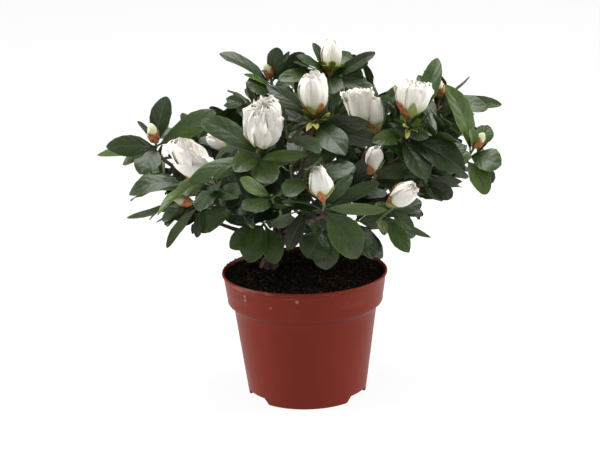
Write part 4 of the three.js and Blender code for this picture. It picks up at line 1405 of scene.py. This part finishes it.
def add_bud(batch, foot, heading, seed, picture):
    """A shut bud: a pale tip standing out of overlapping russet scales."""
    draw = random.Random(seed)
    turn = turn_to(heading)
    height = draw.uniform(11, 14.5)
    radius = draw.uniform(3.5, 4.2)
    rings = [(-1, 0.5), (1.5, 0.9), (height * 0.45, 1), (height * 0.72, 0.82), (height * 0.92, 0.45),
             (height, 0.1)]
    places = [foot + heading * level for level, _ in rings]
    points, faces = closed_tube(places, [radius * share for _, share in rings], 10)
    tints = [PALE if index >= 20 else FOOT for index in range(50)]
    batch.add(points, faces, [*tints, FOOT, PALE], one_place(len(points)))
    girths = ([level for level, _ in rings], [radius * share for _, share in rings])
    for index in range(9):
        grid = scale_grid(girths, -1.5 + 0.5 * index, draw.uniform(5, 7.5), draw.uniform(4, 5.6),
                          draw.uniform(-0.3, 0.6), index * 2.4)
        tint = SCALE if index % 4 else FOOT
        placed = add_sheet(batch, grid, 0.3, SCALE_FACES, SCALE_INSIDE, tint, turn, foot)
        picture.keep(finer(placed, 3))


def bloom_tree(kind_name, foot, heading):
    """A bloom's own outline, for keeping leaves out of it."""
    kind = BLOOMS[kind_name]
    outline = kind.outline[::2]
    places = [foot + heading * kind.height * height for _, height in outline]
    points, faces = closed_tube(places, [kind.radius * radius for radius, _ in outline], 10)
    return BVHTree.FromPolygons(points, faces), foot + heading * kind.height / 2, kind.height * 0.75


def add_growth(batch, one, draw):
    """A rosette of small yellow-green leaves just opening beside a bloom, and a few longer ones."""
    across = across_of(one.heading)
    for index in range(ROSETTE.leaves):
        ray = Matrix.Rotation(index * ROSETTE.turn, 3, one.heading) @ across
        long = index % 4 == 3
        way = (one.heading * ((0.1 if long else 0.7) + 0.5 * draw()) + ray).normalized()
        sprout = SimpleNamespace(
            root=one.at + ray * ROSETTE.reach - one.heading * 2 * draw(), heading=way, up=one.heading,
            look=leaf_look(draw), length=(ROSETTE.long if long else ROSETTE.short) + 4 * draw(),
            width=4.2 + 1.8 * draw())
        add_leaf(batch, leaf_parts(sprout), GROWTH + index % 2, GROWTH)


# One mass of foliage at a time

def plan_mass(name, shoots, crowd, picture):
    """The wood and blooms of a mass, and the heading and straight run of each of its shoots."""
    seed = 101 + list(MASSES).index(name)
    corners = bough_corners(name)
    entry = corners[2]
    lead = entry + (corners[2] - corners[1]).normalized() * STEM.lead
    stem_end = entry.lerp(Vector(MASSES[name].middle), STEM.reach)
    mass = SimpleNamespace(name=name, shoots=shoots, draw=random.Random(seed).random, leaves=Batch(),
                           twigs=Batch(), blooms=Batch())
    stem = smooth_route([entry.lerp(corners[1], 0.1), lead, stem_end], STEM.steps)
    add_tube(mass.twigs, stem, tapered(BOUGH.tip_radius, TWIG.radius, len(stem)), TWIG.sides, (0,))
    for index, one in enumerate(shoots):
        one.heading = heading_of(one)
        one.shade = mass.draw()
        joins = [lead.lerp(stem_end, (share + index * TWIG.join_step) % 1) for share in TWIG.joins]
        join = min(joins, key=lambda place: (place - one.at).length)
        one.run = min(TWIG.shoot_run, TWIG.straight * (join - one.at).length)
        one.route = twig_route(join, one.at, one.heading, one.run)
        one.girth = (TWIG.radius, TWIG.tip_radius)
        face = Vector(one.face).normalized() if one.face else one.heading
        if one.flower == "bud":
            add_bud(mass.blooms, one.at, face, seed * 10 + index, picture)
        elif one.flower:
            foot = Vector(one.foot) if one.foot else one.at + face * one.stalk
            add_bloom(mass.blooms, one.flower, foot, face, seed * 10 + index, picture)
            crowd.add(*bloom_tree(one.flower, foot, face))
            stalk = [one.at - one.heading * 2, one.at, foot]
            add_tube(mass.twigs, stalk, [1.1, 1.1, 1.3], TWIG.sides, (1,))
        if one.growth:
            add_growth(mass.leaves, one, mass.draw)
        one.own = rule_leaves(one, one.heading, one.run, mass.draw)
    return mass


def grow_side_shoots(mass, one, crowd, picture):
    """Finer twigs that leave a shoot below its whorl, each with a few smaller leaves.

    On the plant's face they stay behind what the photograph shows."""
    across = across_of(one.heading)
    for index, share in enumerate(SIDE_SHOOT.shares):
        ray = Matrix.Rotation(math.radians(one.turn + 90 + LEAF.turn * index), 3, one.heading) @ across
        way = (one.heading * 0.45 + ray * 0.9).normalized()
        neck = one.at - one.heading * one.run * share
        side = shoot(neck + way * SIDE_SHOOT.run, SIDE_SHOOT.leaves, one.turn + 60 * index)
        side.ruled = True
        side.hidden = not one.ruled
        side.size = SIDE_SHOOT.size
        side.heading = way
        side.shade = mass.draw()
        side.route = smooth_route([neck, neck + way * SIDE_SHOOT.run / 2 + one.heading * 2, side.at], 4)
        side.girth = (TWIG.tip_radius, SIDE_SHOOT.tip_radius)
        if in_space(mass.name, side.at, 0):
            side.own = rule_leaves(side, way, SIDE_SHOOT.run / 2, mass.draw)
            grow_shoot(mass, side, False, crowd, picture)


# Trunk and boughs

def skin_limb(name, routes, material, voxel, rough):
    """A limb drawn as a run of vertices, given its girth by the skin modifier and a bark relief."""
    clear_selection()
    limb = put_in_scene(name, bpy.data.meshes.new(name))
    take(limb)
    bpy.ops.object.mode_set(mode="EDIT")
    for places, _ in routes:
        bpy.ops.mesh.select_all(action="DESELECT")
        bpy.ops.mesh.primitive_plane_add(size=MM, location=places[0] * MM)
        bpy.ops.mesh.merge(type="CENTER")
        for before, after in zip(places, places[1:]):
            bpy.ops.mesh.extrude_region_move(TRANSFORM_OT_translate={"value": (after - before) * MM})
    bpy.ops.mesh.select_all(action="SELECT")
    bpy.ops.mesh.remove_doubles(threshold=0.05 * MM)
    bpy.ops.object.mode_set(mode="OBJECT")
    limb.modifiers.new("skin", "SKIN")
    known = [(place * MM, radius * MM) for places, radii in routes for place, radius in zip(places, radii)]
    for vertex, girth_data in zip(limb.data.vertices, limb.data.skin_vertices[0].data):
        near = min(known, key=lambda item: (item[0] - vertex.co).length)
        girth_data.radius = (near[1], near[1])
    limb.data.skin_vertices[0].data[0].use_root = True
    round_off = limb.modifiers.new("round", "SUBSURF")
    round_off.levels = 2
    round_off.render_levels = 2
    remesh = limb.modifiers.new("even", "REMESH")
    remesh.mode = "VOXEL"
    remesh.voxel_size = voxel * MM
    apply_modifiers(limb)
    relief(limb, *rough)
    take(limb)
    bpy.ops.object.shade_smooth()
    dress(limb, material)
    return limb


def make_trunk():
    foot = Vector(TRUNK.foot)
    fork = Vector(TRUNK.fork)
    shaft = [raised(foot, -TRUNK.sunk), raised(foot, TRUNK.flare_rise), foot.lerp(fork, 0.2),
             foot.lerp(fork, 0.55), fork]
    radii = [TRUNK.flare_radius + 0.4, TRUNK.flare_radius, TRUNK.foot_radius, TRUNK.waist_radius,
             TRUNK.fork_radius]
    routes = [(shaft, radii)]
    for place in LEADERS.values():
        tip = Vector(place)
        crest = raised(fork.lerp(tip, 0.5), LEADER.arch)
        routes.append(([fork, crest, tip], [TRUNK.fork_radius, LEADER.radius + 0.2, LEADER.tip_radius]))
    trunk = skin_limb("trunk_bark", routes, BARK, 0.5, [(4, 1.5), (1.6, 0.9)])
    hand_over(trunk, "bark", "trunk")


def make_boughs():
    for name in MASSES:
        corners = bough_corners(name)
        places = [bough_place(corners, share) for share in np.linspace(0, 1, BOUGH.places)]
        radii = tapered(BOUGH.radius + 0.2, BOUGH.tip_radius - 0.2, BOUGH.places)
        bough = skin_limb(f"limb_{name}", [(places, radii)], YOUNG_BARK, 0.42, [(2.4, 0.6)])
        nodes = () if name in BOUGHLESS else (f"bough_{name}",)
        hand_over(bough, "bark", *nodes)


def make_foliage():
    shoots = [*FACE_SHOOTS, *fill_shoots()]
    crowd = Crowd()
    picture = Picture()
    order = sorted(MASSES, key=lambda name: MASSES[name].middle[1])
    masses = [plan_mass(name, [one for one in shoots if nearest_mass(one.at) == name], crowd, picture)
              for name in order]
    for mass in masses:
        for one in mass.shoots:
            if one.placed:
                grow_shoot(mass, one, True, crowd, picture)
    picture.keep_open(OPENINGS)
    for mass in masses:
        mass.shoots = [one for one in mass.shoots if grow_shoot(mass, one, False, crowd, picture)]
    for mass in masses:
        for one in mass.shoots:
            grow_side_shoots(mass, one, crowd, picture)
        join_mass(mass)


def join_mass(mass):
    """Hands over a mass's leaves, twigs and blooms, each kind as one piece."""
    kinds = (("leaves", mass.leaves, LEAF_TINTS, "leaf"), ("twigs", mass.twigs, TWIG_TINTS, "bark"),
             ("blooms", mass.blooms, BLOOM_TINTS, "leaf"))
    for kind, batch, tints, slot in kinds:
        if batch.faces:
            hand_over(batch.piece(f"{kind}_{mass.name}", tints), slot, f"foliage_{mass.name}")


# Floor, light and camera

# Each softbox: its place and how high it looks, in metres, its size and its power
LIGHTS = (
    ("light_top", (0.05, 0.05, 1.25), 0.15, 0.9, 16),
    ("light_front", (-0.1, -1.3, 0.85), 0.16, 0.8, 2.4),
    ("light_left", (-1.1, 0.1, 0.5), 0.12, 0.7, 10.5),
    ("light_right", (1.1, 0.1, 0.5), 0.12, 0.7, 10.5),
)


def make_floor():
    clear_selection()
    bpy.ops.mesh.primitive_plane_add(size=12, location=(0, 0, 0))
    floor = bpy.context.object
    floor.name = "floor"
    white = plain_material("floor_white", (0.1, 0.1, 0.1), 0.9, Emission_Color=(1, 1, 1, 1),
                           Emission_Strength=0.92, Specular_IOR_Level=0)
    dress(floor, white)


def softbox(name, place, aim_height, size, power):
    """A square area light that looks at the plant's axis."""
    light = bpy.data.lights.new(name, "AREA")
    light.size = size
    light.energy = power
    lamp = put_in_scene(name, light)
    lamp.location = place
    lamp.rotation_euler = (Vector((0, 0, aim_height)) - Vector(place)).to_track_quat("-Z", "Y").to_euler()


def make_light():
    """A white surround that darkens downwards, and the softboxes."""
    world = bpy.data.worlds.new("studio")
    world.use_nodes = True
    background = world.node_tree.nodes["Background"].inputs
    height = axes(world, add_node(world, "ShaderNodeTexCoord").outputs["Generated"])["Z"]
    world.node_tree.links.new(remapped(world, height, 0, 1, 0.05, 0.6), background["Strength"])
    background["Color"].default_value = (1, 1, 1, 1)
    bpy.context.scene.world = world
    for light in LIGHTS:
        softbox(*light)
    bpy.context.scene.view_settings.view_transform = "Standard"


def make_camera():
    lens = bpy.data.cameras.new("camera")
    lens.lens = CAMERA.lens
    lens.sensor_width = CAMERA.sensor
    camera = put_in_scene("camera", lens)
    camera.matrix_world = Matrix.Scale(MM, 4) @ camera_matrix() @ Matrix.Scale(1 / MM, 4)
    bpy.context.scene.camera = camera


make_pot()
make_crumbs(make_compost())
make_trunk()
make_boughs()
make_foliage()
make_floor()
make_light()
make_camera()
